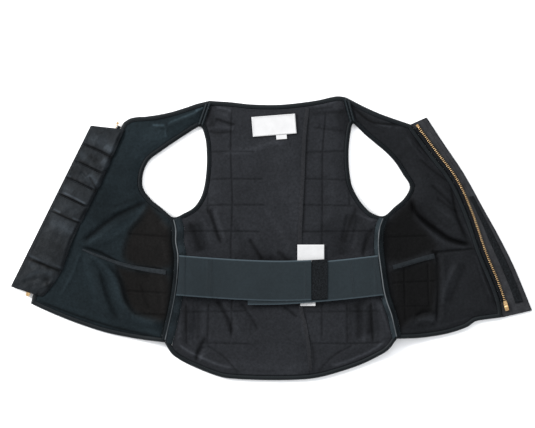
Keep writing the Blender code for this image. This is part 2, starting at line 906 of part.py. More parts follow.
def make_card(name, middle, width, height, tilt, surface, look, thickness=LABEL_THICKNESS):
    """Flat rectangle resting on the highest place beneath it."""
    along = Vector((math.cos(tilt), math.sin(tilt)))
    up = Vector((-math.sin(tilt), math.cos(tilt)))
    base = height_over(surface, middle, max(width, height) / 2) + GAP
    lower = []
    upper = []
    for row in (0.5, -0.5):
        edge = [middle + along * width * column + up * height * row for column in (-0.5, 0.5)]
        lower.append([raised(point, base) for point in edge])
        upper.append([raised(point, base + thickness) for point in edge])
    return slab(name, upper, lower, look)


def make_labels(surface):
    middle = spot(*NECK_LABEL_PLACE)
    tilt = NECK_LABEL_TILT
    make_card("neck_label", middle, NECK_LABEL_WIDTH, NECK_LABEL_HEIGHT, tilt, surface, LABEL)
    along = Vector((math.cos(tilt), math.sin(tilt)))
    down = Vector((math.sin(tilt), -math.cos(tilt)))
    below = (NECK_LABEL_HEIGHT + SIZE_TAB_HEIGHT) / 2 + GAP
    tab = middle + along * NECK_LABEL_WIDTH * SIZE_TAB_SHARE + down * below
    make_card("size_tab", tab, SIZE_TAB_WIDTH, SIZE_TAB_HEIGHT, tilt, surface, LABEL)
    top = spot(*CARE_LABEL_PLACE)
    care = top + Vector((0, -CARE_LABEL_LENGTH / 2))
    make_card("care_label", care, CARE_LABEL_WIDTH, CARE_LABEL_LENGTH, 0, surface, LABEL)
    shift = (CARE_TAIL_WIDTH - CARE_LABEL_WIDTH) / 4
    tail = top + Vector((shift, -CARE_LABEL_LENGTH - GAP - CARE_TAIL_LENGTH / 2))
    make_card("care_label_tail", tail, CARE_TAIL_WIDTH, CARE_TAIL_LENGTH, 0, surface, LABEL)


# Belt

def seam_x(side, y, clearance=0.0):
    """Where a side seam crosses a height of the vest, clear of it towards the back."""
    sign = -1 if side == "left" else 1
    chain = offset_chain(side_cells(side)[1], sign * clearance)
    for a, b in zip(chain, chain[1:]):
        if b.y <= y <= a.y:
            return a.lerp(b, (a.y - y) / (a.y - b.y)).x
    return chain[-1].x


def belt_height(x):
    """Height of the belt's underside, which hangs between the two seams."""
    height = BELT_MIDDLE_HEIGHT
    for side in ("left", "right"):
        away = abs(x - seam_x(side, spot(0, BELT_SEAM_DOWN).y))
        rise = math.exp(-((away / BELT_RISE_LENGTH) ** 2))
        height += (BELT_END_HEIGHT - BELT_MIDDLE_HEIGHT) * rise
    return height


def belt_middle(x):
    """Line of the belt across the back, which dips in the middle."""
    share = min(abs(x) / (BACK_WIDTH / 2 * BELT_BOW_WIDTH), 1)
    seam = spot(0, BELT_SEAM_DOWN).y
    middle = spot(0, BELT_MIDDLE_DOWN).y
    return middle + (seam - middle) * share ** BELT_BOW_POWER


def make_belt_piece(name, from_x, to_x, layer, drop, look, thickness, cells=14):
    """Flat elastic between two places across the back; None starts it at a seam's piping."""
    upper = []
    lower = []
    rest = layer * (BELT_THICKNESS + GAP)
    clearance = PIPING_RADIUS + 2 * GAP
    for edge in BELT_ROWS:
        top = []
        bottom = []
        seam_y = spot(0, BELT_SEAM_DOWN).y + edge * BELT_WIDTH
        start = seam_x("left", seam_y, clearance) if from_x is None else from_x
        end = seam_x("right", seam_y, clearance) if to_x is None else to_x
        for share in even_shares(cells):
            x = start + (end - start) * share
            slip = drop * (1 - share)
            y = belt_middle(x) + edge * BELT_WIDTH - slip
            height = belt_height(x) + rest
            top.append(Vector((x, y, height + thickness)))
            bottom.append(Vector((x, y, height)))
        upper.append(top)
        lower.append(bottom)
    return slab(name, upper, lower, look)


def make_belt():
    end = spot(BELT_LEFT_END, 0).x
    tail = spot(BELT_RIGHT_TAIL, 0).x
    patch_end = end + GAP + HOOK_PATCH_LENGTH
    make_belt_piece("belt_left", None, end, 1, 0, ELASTIC, BELT_THICKNESS)
    make_belt_piece("belt_right", tail, None, 0, BELT_TAIL_DROP, ELASTIC, BELT_THICKNESS)
    make_belt_piece("belt_hook_patch", end + GAP, patch_end, 1, 0, HOOK,
                    HOOK_PATCH_THICKNESS, 3)


# Zip

def front_edge(side):
    """Bound edge of a front from the neck down to the hem."""
    run = RUNS["right_neck"] if side == "right" else RUNS["left_corner"][::-1]
    return spline(run, 2)


def zip_line(side, reach, start, end, cells):
    """Chain beside a front edge, at a reach outside it."""
    sign = -1 if side == "right" else 1
    line = offset_chain(front_edge(side), sign * reach)
    return sampled(line, [start + (end - start) * share for share in even_shares(cells)])


def make_tape(side):
    start, end = ZIP_SPANS[side]
    cells = EDGE_CELLS
    inner = zip_line(side, GAP, start, end, cells)
    outer = zip_line(side, TAPE_WIDTH, start, end, cells)
    upper = [[raised(p, TAPE_HEIGHT + TAPE_THICKNESS) for p in line] for line in (inner, outer)]
    lower = [[raised(p, TAPE_HEIGHT) for p in line] for line in (inner, outer)]
    return slab(f"{side}_zip_tape", upper, lower, TAPE)


def chain_steps(side):
    """Shares along a zip half where its outline turns, and whether a tooth starts there."""
    start, end = ZIP_SPANS[side]
    teeth = round(lengths(zip_line(side, TAPE_WIDTH, start, end, EDGE_CELLS))[-1] / TOOTH_PITCH)
    steps = []
    for tooth in range(teeth):
        share = tooth / teeth
        hidden = side == "left" and LEFT_TEETH_SHOWN[0] < share < LEFT_TEETH_SHOWN[1]
        if not hidden:
            steps.append((share, True))
            steps.append(((tooth + 0.5) / teeth, False))
        elif tooth % HIDDEN_TEETH_TO_A_CELL == 0:
            steps.append((share, False))
    return steps + [(1.0, False)]


def make_chain(side):
    """Row of brass teeth on a bead, as one comb. Hidden stretches keep the plain bead."""
    start, end = ZIP_SPANS[side]
    inner_reach = TAPE_WIDTH + GAP
    reaches = (inner_reach, inner_reach + CHAIN_WIDTH * BEAD_SHARE, inner_reach + CHAIN_WIDTH)
    low = TAPE_HEIGHT + (TAPE_THICKNESS - CHAIN_THICKNESS) / 2
    steps = chain_steps(side)
    lines = [zip_line(side, reach, start, end, 4 * EDGE_CELLS) for reach in reaches]
    points = []
    faces = []

    def place(line, share):
        """Keys of the upper and the lower point of a line at a share."""
        point = at_share(line, share)
        points.append(raised(point, low + CHAIN_THICKNESS))
        points.append(raised(point, low))
        return len(points) - 2, len(points) - 1

    inner = place(lines[0], 0)
    bead = place(lines[1], 0)
    faces.append((inner[0], bead[0], bead[1], inner[1]))
    index = 0
    while index < len(steps) - 1:
        toothed = steps[index][1]
        roots = [bead]
        for share, _ in steps[index + 1:index + (3 if toothed else 2)]:
            roots.append(place(lines[1], share))
        ahead = place(lines[0], steps[index + len(roots) - 1][0])
        faces.append((inner[0], ahead[0], *[root[0] for root in reversed(roots)]))
        faces.append((ahead[1], inner[1], *[root[1] for root in roots]))
        faces.append((inner[1], ahead[1], ahead[0], inner[0]))
        if toothed:
            near = place(lines[2], steps[index][0])
            far = place(lines[2], steps[index + 1][0])
            first, second = roots[:2]
            faces.append((first[0], second[0], far[0], near[0]))
            faces.append((near[1], far[1], second[1], first[1]))
            faces.append((near[0], far[0], far[1], near[1]))
            faces.append((first[0], near[0], near[1], first[1]))
            faces.append((second[1], far[1], far[0], second[0]))
        for a, b in zip(roots[toothed:], roots[toothed + 1:]):
            faces.append((a[0], b[0], b[1], a[1]))
        inner = ahead
        bead = roots[-1]
        index += len(roots) - 1
    faces.append((inner[1], bead[1], bead[0], inner[0]))
    return solid(f"{side}_zip_chain", points, faces, BRASS)


def make_zip_end(name, side, share, length, at_hem):
    """Brass block at an end of a zip: the stop at the neck or the pin and box at the hem."""
    reach = TAPE_WIDTH + GAP + CHAIN_WIDTH / 2
    line = zip_line(side, reach, 0, 1, 4 * EDGE_CELLS)
    start = at_share(line, share)
    behind = at_share(line, share - CLEAR_STEP if at_hem else share + CLEAR_STEP)
    along = (start - behind).normalized()
    start += along * GAP
    across = right_of(along)
    width = PIN_WIDTH if at_hem else CHAIN_WIDTH
    middle = TAPE_HEIGHT + TAPE_THICKNESS / 2
    upper = []
    lower = []
    for where, wide in PIN_PROFILE:
        point = start + along * length * where
        pair = [point + across * width * wide * share for share in (-0.5, 0.5)]
        rise = PIN_THICKNESS / 2 * (wide if at_hem else STOP_HEIGHT_SHARE)
        upper.append([raised(p, middle + rise) for p in pair])
        lower.append([raised(p, middle - rise) for p in pair])
    return slab(name, upper, lower, BRASS)


# Leather pieces at the front edges

def make_flap(*below):
    """Ribbed guard over the left zip: padded bars with creases between them."""
    surface = surface_of(*below)
    outer = spline([spot(across, down) for across, down in FLAP_OUTER_EDGE])
    inner = spline([spot(across, down) for across, down in FLAP_INNER_EDGE])
    rows = []
    for (outer_a, inner_a), (outer_b, inner_b) in zip(FLAP_CREASES, FLAP_CREASES[1:]):
        for share, crest in FLAP_PAD_ROWS:
            rows.append((outer_a + (outer_b - outer_a) * share,
                         inner_a + (inner_b - inner_a) * share, crest))
    rows.append((1, 1, 0))
    places = []
    for outer_share, inner_share, _ in rows:
        a = at_share(outer, outer_share)
        b = at_share(inner, inner_share)
        places.append([a.lerp(b, column) for column in FLAP_COLUMNS])
    reach = max((places[0][0] - places[0][2]).length, (places[-1][0] - places[-3][0]).length) / 2
    upper = []
    lower = []
    for (_, _, crest), line in zip(rows, places):
        top = []
        bottom = []
        for column, point in zip(FLAP_COLUMNS, line):
            under = height_over(surface, point, reach)
            base = FLAP_HANG if under is None else under + 2 * GAP
            thickness = FLAP_THICKNESS - FLAP_CREASE_DEPTH * (1 - crest)
            if 0 < column < 1:
                thickness += FLAP_PAD_RISE * crest
            bottom.append(raised(point, base))
            top.append(raised(point, base + thickness))
        upper.append(top)
        lower.append(bottom)
    seat(slab("left_zip_guard", upper, lower, LEATHER), *below)


def make_placket():
    """Leather strip under the open zip chain, and the hook strip on it."""
    inner = zip_line("right", GAP, 0, 1, EDGE_CELLS)
    outer_edge = spline([spot(across, down) for across, down in PLACKET_OUTER_EDGE])
    outer = sampled(outer_edge, even_shares(EDGE_CELLS))
    upper = []
    lower = []
    for a, b in zip(inner, outer):
        line = [a.lerp(b, column) for column in PLACKET_COLUMNS]
        lower.append([raised(point, PLACKET_CLEARANCE) for point in line])
        upper.append([raised(point, PLACKET_CLEARANCE + PLACKET_THICKNESS) for point in line])
    slab("right_placket", upper, lower, LEATHER)
    first, last = HOOK_STRIP_COLUMNS
    start = round(HOOK_STRIP_START * EDGE_CELLS)
    bottom = [[point + Vector((0, 0, GAP)) for point in line[first:last + 1]]
              for line in upper[start:-1]]
    top = [[point + Vector((0, 0, HOOK_STRIP_THICKNESS)) for point in line] for line in bottom]
    slab("placket_hook_strip", top, bottom, HOOK)


def main():
    for part in list(bpy.data.objects):
        bpy.data.objects.remove(part)
    back, left, right = make_panels()
    bindings = make_bindings()
    for side in ("left", "right"):
        make_side_seam(side)
        make_shoulder_seam(side)
    strip = make_band("closure_strip", CLOSURE_PATH, STRIP_WIDTH, STRIP_THICKNESS,
                      surface_of(back), LINING_WARM, 30)
    for side, panel in (("left", left), ("right", right)):
        make_band(f"{side}_pocket_band", POCKET_BAND_PATHS[side], POCKET_BAND_WIDTH,
                  POCKET_BAND_THICKNESS, surface_of(panel), SEAM_CLOTH, 10)
    make_labels(surface_of(back, strip))
    make_belt()
    under_flap = [left, bindings["left_front_binding"]]
    for side in ("left", "right"):
        under = [make_tape(side), make_chain(side)]
        start, end = ZIP_SPANS[side]
        under.append(make_zip_end(f"{side}_zip_pin", side, end, PIN_LENGTH, True))
        under.append(make_zip_end(f"{side}_zip_stop", side, start, STOP_LENGTH, False))
        if side == "left":
            under_flap += under
    make_flap(*under_flap)
    make_placket()


main()
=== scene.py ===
"""Looks of the rodeo vest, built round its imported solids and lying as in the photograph.

Metres, +Z up. The outlines repeat the tables of shares of the part's source, so that every
dressed piece ends where its solid ends. Places read off the photograph are in its pixels.
"""

import math
import random

import bpy
import numpy as np
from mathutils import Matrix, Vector
from mathutils.bvhtree import BVHTree


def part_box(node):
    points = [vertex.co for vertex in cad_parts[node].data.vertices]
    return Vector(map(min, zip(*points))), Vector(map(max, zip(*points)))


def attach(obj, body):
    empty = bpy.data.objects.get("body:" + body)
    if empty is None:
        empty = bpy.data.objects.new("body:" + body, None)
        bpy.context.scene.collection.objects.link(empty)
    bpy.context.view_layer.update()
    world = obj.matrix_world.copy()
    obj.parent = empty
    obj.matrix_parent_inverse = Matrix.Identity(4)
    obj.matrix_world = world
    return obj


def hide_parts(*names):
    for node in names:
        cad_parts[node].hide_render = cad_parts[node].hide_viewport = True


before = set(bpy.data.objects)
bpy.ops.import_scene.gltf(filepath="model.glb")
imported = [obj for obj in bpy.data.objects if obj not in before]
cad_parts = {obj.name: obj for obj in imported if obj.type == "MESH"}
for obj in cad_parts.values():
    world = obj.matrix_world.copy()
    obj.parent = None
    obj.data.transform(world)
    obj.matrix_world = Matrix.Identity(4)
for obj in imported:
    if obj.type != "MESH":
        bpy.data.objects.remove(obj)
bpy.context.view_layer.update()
DICE = random.Random(7)

# Sizes of the vest as it lies
BACK_LENGTH = 0.524
BACK_WIDTH = 0.439
FRONT_WIDTH = 0.2565
GAP = 0.0003
DOWN = Vector((0, 0, -1))

# Padding
PAD_THICKNESS = 0.013
EDGE_THICKNESS = 0.008
PAD_ROLL = 0.026
QUILT_RISE = 0.0016
FOLD_WIDTH = 0.022
FOLD_HEIGHT = 0.006

# Edge bindings and shoulder seams
BINDING_WIDTH = 0.0085
BINDING_HEIGHT = 0.0095
SHOULDER_SEAM_WIDTH = 0.010
SHOULDER_WELT_HEIGHT = 0.0145

# Side seams, which stand up as tents with a piping on the crest
SEAM_LIFT = 0.012
SEAM_SPREAD = 0.045
SEAM_CREST = 0.016
SEAM_WALL = 0.0025
SEAM_FADE = 2.0
CLEAR_STEPS = 400
CLEAR_STEP = 0.01
PIPING_RADIUS = 0.0019

# Elastic belt over the back
BELT_WIDTH = 0.0762
BELT_THICKNESS = 0.0018
BELT_MIDDLE_HEIGHT = 0.0195
BELT_END_HEIGHT = 0.0285
BELT_RISE_LENGTH = 0.06
HOOK_PATCH_LENGTH = 0.030
HOOK_PATCH_THICKNESS = 0.0014

# Labels and sewn strips
LABEL_THICKNESS = 0.0008
NECK_LABEL_WIDTH = 0.083
NECK_LABEL_HEIGHT = 0.0375
SIZE_TAB_WIDTH = 0.020
SIZE_TAB_HEIGHT = 0.0085
CARE_LABEL_WIDTH = 0.0507
CARE_LABEL_LENGTH = 0.062
CARE_TAIL_WIDTH = 0.0285
CARE_TAIL_LENGTH = 0.054
STRIP_WIDTH = 0.0076
STRIP_THICKNESS = 0.0012
POCKET_BAND_WIDTH = 0.0095
POCKET_BAND_THICKNESS = 0.0015

# Zip guard flap on the left and placket on the right
FLAP_THICKNESS = 0.0048
FLAP_PAD_RISE = 0.0022
FLAP_CREASE_DEPTH = 0.0016
FLAP_HANG = 0.0045
PLACKET_THICKNESS = 0.003
PLACKET_CLEARANCE = 0.0005
HOOK_STRIP_THICKNESS = 0.0013
SEARCH_STEPS = 4

# Zip
TAPE_WIDTH = 0.0062
TAPE_THICKNESS = 0.0012
TAPE_HEIGHT = 0.0055
CHAIN_WIDTH = 0.005
CHAIN_THICKNESS = 0.0032
BEAD_SHARE = 0.4
TOOTH_PITCH = 0.0034
PIN_LENGTH = 0.019
PIN_WIDTH = 0.0075
PIN_THICKNESS = 0.0046
PIN_PROFILE = (
    # (share of the length, share of the width)
    (0.0, 0.75),
    (0.42, 1.0),
    (0.5, 0.7),
    (0.6, 1.0),
    (1.0, 0.9),
)
STOP_LENGTH = 0.005
STOP_HEIGHT_SHARE = 0.7

# Outer edge of the whole vest, clockwise. A name marks where one run ends and the next starts
OUTLINE = (
    # (mark, across, down)
    ("left_neck", -1.295, 0.064),
    ("", -1.229, 0.047),
    ("", -1.11, 0.042),
    ("", -0.926, 0.026),
    ("", -0.660, -0.010),
    ("left_shoulder", -0.605, -0.014),
    ("", -0.416, -0.009),
    ("", -0.236, -0.001),
    ("", 0.02, 0.0),
    ("", 0.31, -0.014),
    ("", 0.49, -0.030),
    ("right_shoulder", 0.578, -0.027),
    ("", 0.725, 0.005),
    ("", 0.874, 0.033),
    ("", 1.03, 0.057),
    ("right_neck", 1.12, 0.072),
    ("", 1.275, 0.176),
    ("", 1.43, 0.277),
    ("", 1.544, 0.398),
    ("", 1.639, 0.534),
    ("", 1.735, 0.648),
    ("", 1.785, 0.72),
    ("right_corner", 1.80, 0.772),
    ("", 1.607, 0.786),
    ("", 1.539, 0.807),
    ("", 1.394, 0.831),
    ("", 1.2, 0.846),
    ("right_side", 1.016, 0.849),
    ("", 0.939, 0.892),
    ("", 0.75, 0.936),
    ("", 0.577, 0.963),
    ("", 0.319, 0.992),
    ("", 0.026, 1.0),
    ("", -0.355, 0.996),
    ("", -0.547, 0.983),
    ("", -0.833, 0.932),
    ("", -0.955, 0.892),
    ("left_side", -0.989, 0.862),
    ("", -1.19, 0.85),
    ("", -1.42, 0.828),
    ("", -1.637, 0.794),
    ("", -1.828, 0.757),
    ("left_corner", -1.984, 0.722),
    ("", -1.955, 0.675),
    ("", -1.848, 0.564),
    ("", -1.67, 0.383),
    ("", -1.456, 0.209),
)

# Armholes from the shoulder seam down to the side seam, once along the back, once along a front
ARMHOLES = {
    # side: {panel: (across, down), ...}
    "left": {
        "back": ((-0.679, 0.075), (-0.640, 0.115), (-0.625, 0.19), (-0.634, 0.26),
                 (-0.665, 0.325), (-0.735, 0.372), (-0.835, 0.397), (-0.915, 0.408)),
        "front": ((-0.679, 0.075), (-0.79, 0.104), (-1.0, 0.163), (-1.114, 0.207),
                  (-1.15, 0.25), (-1.142, 0.316), (-1.025, 0.370), (-0.915, 0.408)),
    },
    "right": {
        "back": ((0.636, 0.063), (0.612, 0.125), (0.603, 0.194), (0.623, 0.279),
                 (0.672, 0.33), (0.77, 0.384), (0.845, 0.399), (0.905, 0.404)),
        "front": ((0.636, 0.063), (0.72, 0.10), (0.838, 0.142), (0.973, 0.192),
                  (1.045, 0.24), (1.115, 0.30), (1.075, 0.338), (0.905, 0.404)),
    },
}

# The tips of the armholes are rounded: where the arcs end, and how far the tip stands out
ARMHOLE_TIP = 0.009
ARMHOLE_TIP_POINT = 0.6

# Side seams between armhole and hem; their first and last points are on those edges
SIDE_SEAMS = {
    # side: (across, down), ...
    "left": ((-0.887, 0.44), (-0.90, 0.475), (-0.872, 0.546), (-0.883, 0.64),
             (-0.913, 0.722), (-0.956, 0.804)),
    "right": ((0.872, 0.44), (0.856, 0.507), (0.868, 0.559), (0.893, 0.636),
              (0.918, 0.698), (0.967, 0.756)),
}

# Width of each seam tent towards the back and towards the front
SEAM_TENTS = {"left": (0.015, 0.008), "right": (0.008, 0.010)}

# Cells of the panels' grids along each run
BACK_CELLS = 18
FRONT_CELLS = 12
SHOULDER_CELLS = 2
ARMHOLE_CELLS = 10
SIDE_CELLS = 10
EDGE_CELLS = SHOULDER_CELLS + ARMHOLE_CELLS + SIDE_CELLS
YOKE_CELL = 0.14
TOP_BOW_FADE = 6
HEM_BOW_FADE = 2

# Folds of the lining: ridges where height is positive, creases where it is negative
FOLDS = {
    # panel: (across, down, to across, to down, width, height), ...
    "back": (
        (-0.49, 0.180, 0.08, 0.150, 0.7, 0.25),
        (-0.58, 0.386, -0.49, 0.495, 0.6, -0.45),
        (-0.26, 0.49, -0.13, 0.565, 0.7, -0.35),
        (0.61, 0.397, 0.54, 0.495, 0.6, -0.45),
        (0.77, 0.466, 0.73, 0.54, 0.6, 0.3),
        (-0.54, 0.70, -0.40, 0.83, 0.7, -0.5),
        (-0.33, 0.72, -0.18, 0.82, 0.6, -0.4),
        (-0.71, 0.925, -0.66, 0.88, 0.6, -0.6),
        (0.68, 0.90, 0.46, 0.95, 0.6, -0.35),
    ),
    "left_front": (
        (-1.154, 0.345, -1.59, 0.499, 0.5, -0.6),
        (-1.11, 0.395, -1.55, 0.535, 0.8, 0.5),
        (-1.58, 0.55, -1.30, 0.70, 1.1, 0.9),
        (-1.30, 0.70, -1.05, 0.78, 0.9, 0.7),
        (-1.10, 0.60, -1.16, 0.72, 1.1, -0.7),
        (-1.47, 0.665, -1.37, 0.774, 0.6, 0.4),
    ),
    "right_front": (
        (1.107, 0.118, 1.19, 0.19, 0.7, 0.5),
        (1.19, 0.19, 1.40, 0.269, 0.8, 0.7),
        (1.40, 0.269, 1.46, 0.403, 0.8, 0.8),
        (1.46, 0.403, 1.56, 0.50, 0.8, 0.7),
        (1.13, 0.341, 1.247, 0.429, 0.7, -0.8),
        (1.247, 0.429, 1.426, 0.491, 0.7, -0.8),
        (1.29, 0.535, 1.596, 0.525, 0.6, 0.6),
        (1.315, 0.55, 1.315, 0.79, 0.5, -0.5),
    ),
}

# Sewn strips on the lining
CLOSURE_PATH = ((0.24, 0.035), (0.218, 0.12), (0.205, 0.26), (0.188, 0.40), (0.18, 0.52),
                (0.185, 0.72), (0.225, 0.80), (0.255, 0.88), (0.27, 0.955))
POCKET_BAND_PATHS = {
    "left": ((-1.60, 0.525), (-1.50, 0.545), (-1.32, 0.577), (-1.165, 0.595), (-0.975, 0.609)),
    "right": ((0.985, 0.590), (1.08, 0.578), (1.19, 0.562), (1.295, 0.549)),
}

# Zip guard on the left: its two long edges, and where each crease meets them
FLAP_OUTER_EDGE = ((-1.539, 0.076), (-1.84, 0.372), (-2.132, 0.66))
FLAP_INNER_EDGE = ((-1.285, 0.090), (-1.335, 0.143), (-1.448, 0.274), (-1.537, 0.364),
                   (-1.67, 0.491), (-1.745, 0.603), (-1.84, 0.672), (-1.90, 0.697))
FLAP_CREASES = (
    # (share down the outer edge, share down the inner edge)
    (0.0, 0.0),
    (0.11, 0.163),
    (0.217, 0.26),
    (0.32, 0.36),
    (0.42, 0.457),
    (0.53, 0.56),
    (0.81, 0.83),
    (1.0, 1.0),
)
FLAP_COLUMNS = (0.0, 0.10, 0.36, 0.66, 0.90, 1.0)
FLAP_PAD_ROWS = (
    # (share of the way from crease to crease, share of the pad's height)
    (0.0, 0.0),
    (0.14, 0.85),
    (0.5, 1.0),
    (0.86, 0.85),
)

# Placket on the right, and the rows of its grid that the hook strip covers
PLACKET_OUTER_EDGE = ((1.238, 0.046), (1.364, 0.14), (1.512, 0.248), (1.66, 0.378),
                      (1.776, 0.480), (1.893, 0.595), (2.021, 0.747))
PLACKET_COLUMNS = (0.0, 0.3, 0.52, 0.82, 1.0)
HOOK_STRIP_COLUMNS = (2, 3)
HOOK_STRIP_START = 0.42

# Shares of the front edges that the zip halves take, from the neck to the hem
ZIP_SPANS = {"left": (0.026, 0.92), "right": (0.03, 0.925)}
LEFT_TEETH_SHOWN = (0.06, 0.95)
HIDDEN_TEETH_TO_A_CELL = 5

# Where belts and labels lie
BELT_SEAM_DOWN = 0.618
BELT_MIDDLE_DOWN = 0.639
BELT_LEFT_END = 0.28
BELT_RIGHT_TAIL = -0.27
BELT_TAIL_DROP = 0.009
BELT_BOW_WIDTH = 0.88
BELT_BOW_POWER = 1.6
BELT_ROWS = (0.5, 0.25, 0.0, -0.25, -0.5)
NECK_LABEL_PLACE = (-0.043, 0.0755)
NECK_LABEL_TILT = math.radians(4.5)
SIZE_TAB_SHARE = 0.15
CARE_LABEL_PLACE = (0.275, 0.508)


# Curves in the plane

def spot(across, down):
    """Place in the plane of a point given in shares."""
    side = math.copysign(1, across)
    share = abs(across)
    x = side * (min(share, 1) * BACK_WIDTH / 2 + max(share - 1, 0) * FRONT_WIDTH)
    return Vector((x, BACK_LENGTH * (0.5 - down)))


def spline(points, steps=12):
    """Smooth chain of points through the given ones."""
    ends = [points[0] * 2 - points[1], *points, points[-1] * 2 - points[-2]]
    chain = []
    for a, b, c, d in zip(ends, ends[1:], ends[2:], ends[3:]):
        for step in range(steps):
            t = step / steps
            square = (a * 2 - b * 5 + c * 4 - d) * t ** 2
            cube = (b * 3 - a - c * 3 + d) * t ** 3
            chain.append((b * 2 + (c - a) * t + square + cube) / 2)
    chain.append(points[-1].copy())
    return chain


def lengths(chain):
    """Running length at each point of a chain."""
    run = [0.0]
    for a, b in zip(chain, chain[1:]):
        run.append(run[-1] + (b - a).length)
    return run


def at_share(chain, share):
    """Point at a share of a chain's length."""
    run = lengths(chain)
    wanted = share * run[-1]
    for index in range(1, len(chain)):
        if run[index] >= wanted:
            step = (wanted - run[index - 1]) / max(run[index] - run[index - 1], 1e-9)
            return chain[index - 1].lerp(chain[index], step)
    return chain[-1].copy()


def sampled(chain, shares):
    return [at_share(chain, share) for share in shares]


def even_shares(cells):
    return [index / cells for index in range(cells + 1)]


def stepped_shares(cells, first, last):
    """Shares of a run whose first and last cells have a length of their own."""
    inner = [first + (1 - first - last) * share for share in even_shares(cells - 2)]
    return [0.0, *inner, 1.0]


def right_of(direction):
    return Vector((direction.y, -direction.x))


def offset_corner(before, after, width_before, width_after):
    """Move of a corner whose two sides each go to their right by their own width."""
    a = right_of(before) * width_before
    b = right_of(after) * width_after
    turn = before.x * after.y - before.y * after.x
    if abs(turn) < 0.04:
        return (a + b) / 2
    gap = b - a
    return a + before * ((gap.x * after.y - gap.y * after.x) / turn)


def inset_ring(points, widths):
    """Closed outline with each side moved to its right by its own width."""
    count = len(points)
    moved = []
    for index, point in enumerate(points):
        before = (point - points[index - 1]).normalized()
        after = (points[(index + 1) % count] - point).normalized()
        moved.append(point + offset_corner(before, after, widths[index - 1], widths[index]))
    return moved


def offset_chain(points, width):
    """Open chain moved to its right."""
    moved = []
    last = len(points) - 1
    for index, point in enumerate(points):
        before = (point - points[max(index - 1, 0)]).normalized()
        after = (points[min(index + 1, last)] - point).normalized()
        if index == 0:
            before = after
        if index == last:
            after = before
        moved.append(point + offset_corner(before, after, width, width))
    return moved


def distance(point, chain):
    """Distance from a point to a chain."""
    nearest = math.inf
    for a, b in zip(chain, chain[1:]):
        side = b - a
        share = max(0.0, min(1.0, (point - a).dot(side) / max(side.length_squared, 1e-12)))
        nearest = min(nearest, (point - a - side * share).length)
    return nearest


def inside(point, ring):
    """Whether a point is inside a closed outline."""
    within = False
    for a, b in zip(ring, ring[1:] + ring[:1]):
        if (a.y > point.y) != (b.y > point.y):
            if point.x < a.x + (point.y - a.y) / (b.y - a.y) * (b.x - a.x):
                within = not within
    return within


# Outlines shared by the panels and what borders them

def outline_runs():
    """Runs of the outer edge between its marks, as sampled chains."""
    cells = {
        "left_neck": FRONT_CELLS,
        "left_shoulder": BACK_CELLS,
        "right_shoulder": FRONT_CELLS,
        "right_neck": EDGE_CELLS,
        "right_corner": FRONT_CELLS,
        "right_side": BACK_CELLS,
        "left_side": FRONT_CELLS,
        "left_corner": EDGE_CELLS,
    }
    points = [spot(across, down) for _, across, down in OUTLINE]
    starts = [index for index, row in enumerate(OUTLINE) if row[0]]
    runs = {}
    for start, end in zip(starts, starts[1:] + [len(OUTLINE)]):
        mark = OUTLINE[start][0]
        chain = spline(points[start:end] + [points[end % len(points)]])
        even = 1 / cells[mark]
        first = YOKE_CELL if mark == "right_shoulder" else even
        last = YOKE_CELL if mark == "left_neck" else even
        runs[mark] = sampled(chain, stepped_shares(cells[mark], first, last))
    return runs


def arm_arcs(side):
    """The back and front arcs of an armhole, each from its rounded tip down."""
    chains = {}
    for panel, rows in ARMHOLES[side].items():
        chains[panel] = spline([spot(across, down) for across, down in rows])
    starts = {panel: ARMHOLE_TIP / lengths(chain)[-1] for panel, chain in chains.items()}
    first = at_share(chains["back"], starts["back"])
    second = at_share(chains["front"], starts["front"])
    middle = (first + second) / 2
    tip = middle.lerp(chains["back"][0], ARMHOLE_TIP_POINT)
    arcs = {}
    for panel, chain in chains.items():
        shares = [starts[panel] + (1 - starts[panel]) * share
                  for share in even_shares(ARMHOLE_CELLS - 1)]
        arcs[panel] = [tip] + sampled(chain, shares)
    return arcs


RUNS = outline_runs()
OUTER_RING = [point for run in RUNS.values() for point in run[:-1]]
ARCS = {side: arm_arcs(side) for side in ("left", "right")}
ARM_RINGS = {
    "left": ARCS["left"]["back"][:-1] + ARCS["left"]["front"][:0:-1],
    "right": ARCS["right"]["front"][:-1] + ARCS["right"]["back"][:0:-1],
}


def seam_chain(side):
    """Line of a side seam from the armhole to the hem."""
    rows = [spot(across, down) for across, down in SIDE_SEAMS[side]]
    return spline([ARCS[side]["back"][-1], *rows, RUNS[f"{side}_side"][0]])


SIDE_LINES = {side: seam_chain(side) for side in ("left", "right")}
SHOULDER_LINES = {
    side: [RUNS[f"{side}_shoulder"][0], ARCS[side]["back"][0]] for side in ("left", "right")
}


def lift(point):
    """Height of the underside over the floor, which is nothing but near the side seams."""
    nearest = min(distance(point, chain) for chain in SIDE_LINES.values())
    rise = math.exp(-((nearest / SEAM_SPREAD) ** 2))
    floor = math.exp(-(SEAM_FADE ** 2))
    return SEAM_LIFT * max(0.0, rise - floor) / (1 - floor)


def raised(point, height):
    return Vector((point.x, point.y, height))


def shares_of(chain):
    run = lengths(chain)
    return [length / run[-1] for length in run]


def panel_outline(sides):
    """Inset outline of a panel; sides are (chain, width) in clockwise order."""
    points = []
    widths = []
    for chain, width in sides:
        points += chain[:-1]
        widths += [width] * (len(chain) - 1)
    return inset_ring(points, widths)


def side_cells(side):
    """The seams between back and front, as sampled chains from the neck down."""
    shoulder = sampled(SHOULDER_LINES[side], even_shares(SHOULDER_CELLS))
    seam = sampled(SIDE_LINES[side], even_shares(SIDE_CELLS))
    return shoulder, seam


def seam_x(side, y, clearance=0.0):
    """Where a side seam crosses a height of the vest, clear of it towards the back."""
    sign = -1 if side == "left" else 1
    chain = offset_chain(side_cells(side)[1], sign * clearance)
    for a, b in zip(chain, chain[1:]):
        if b.y <= y <= a.y:
            return a.lerp(b, (a.y - y) / (a.y - b.y)).x
    return chain[-1].x


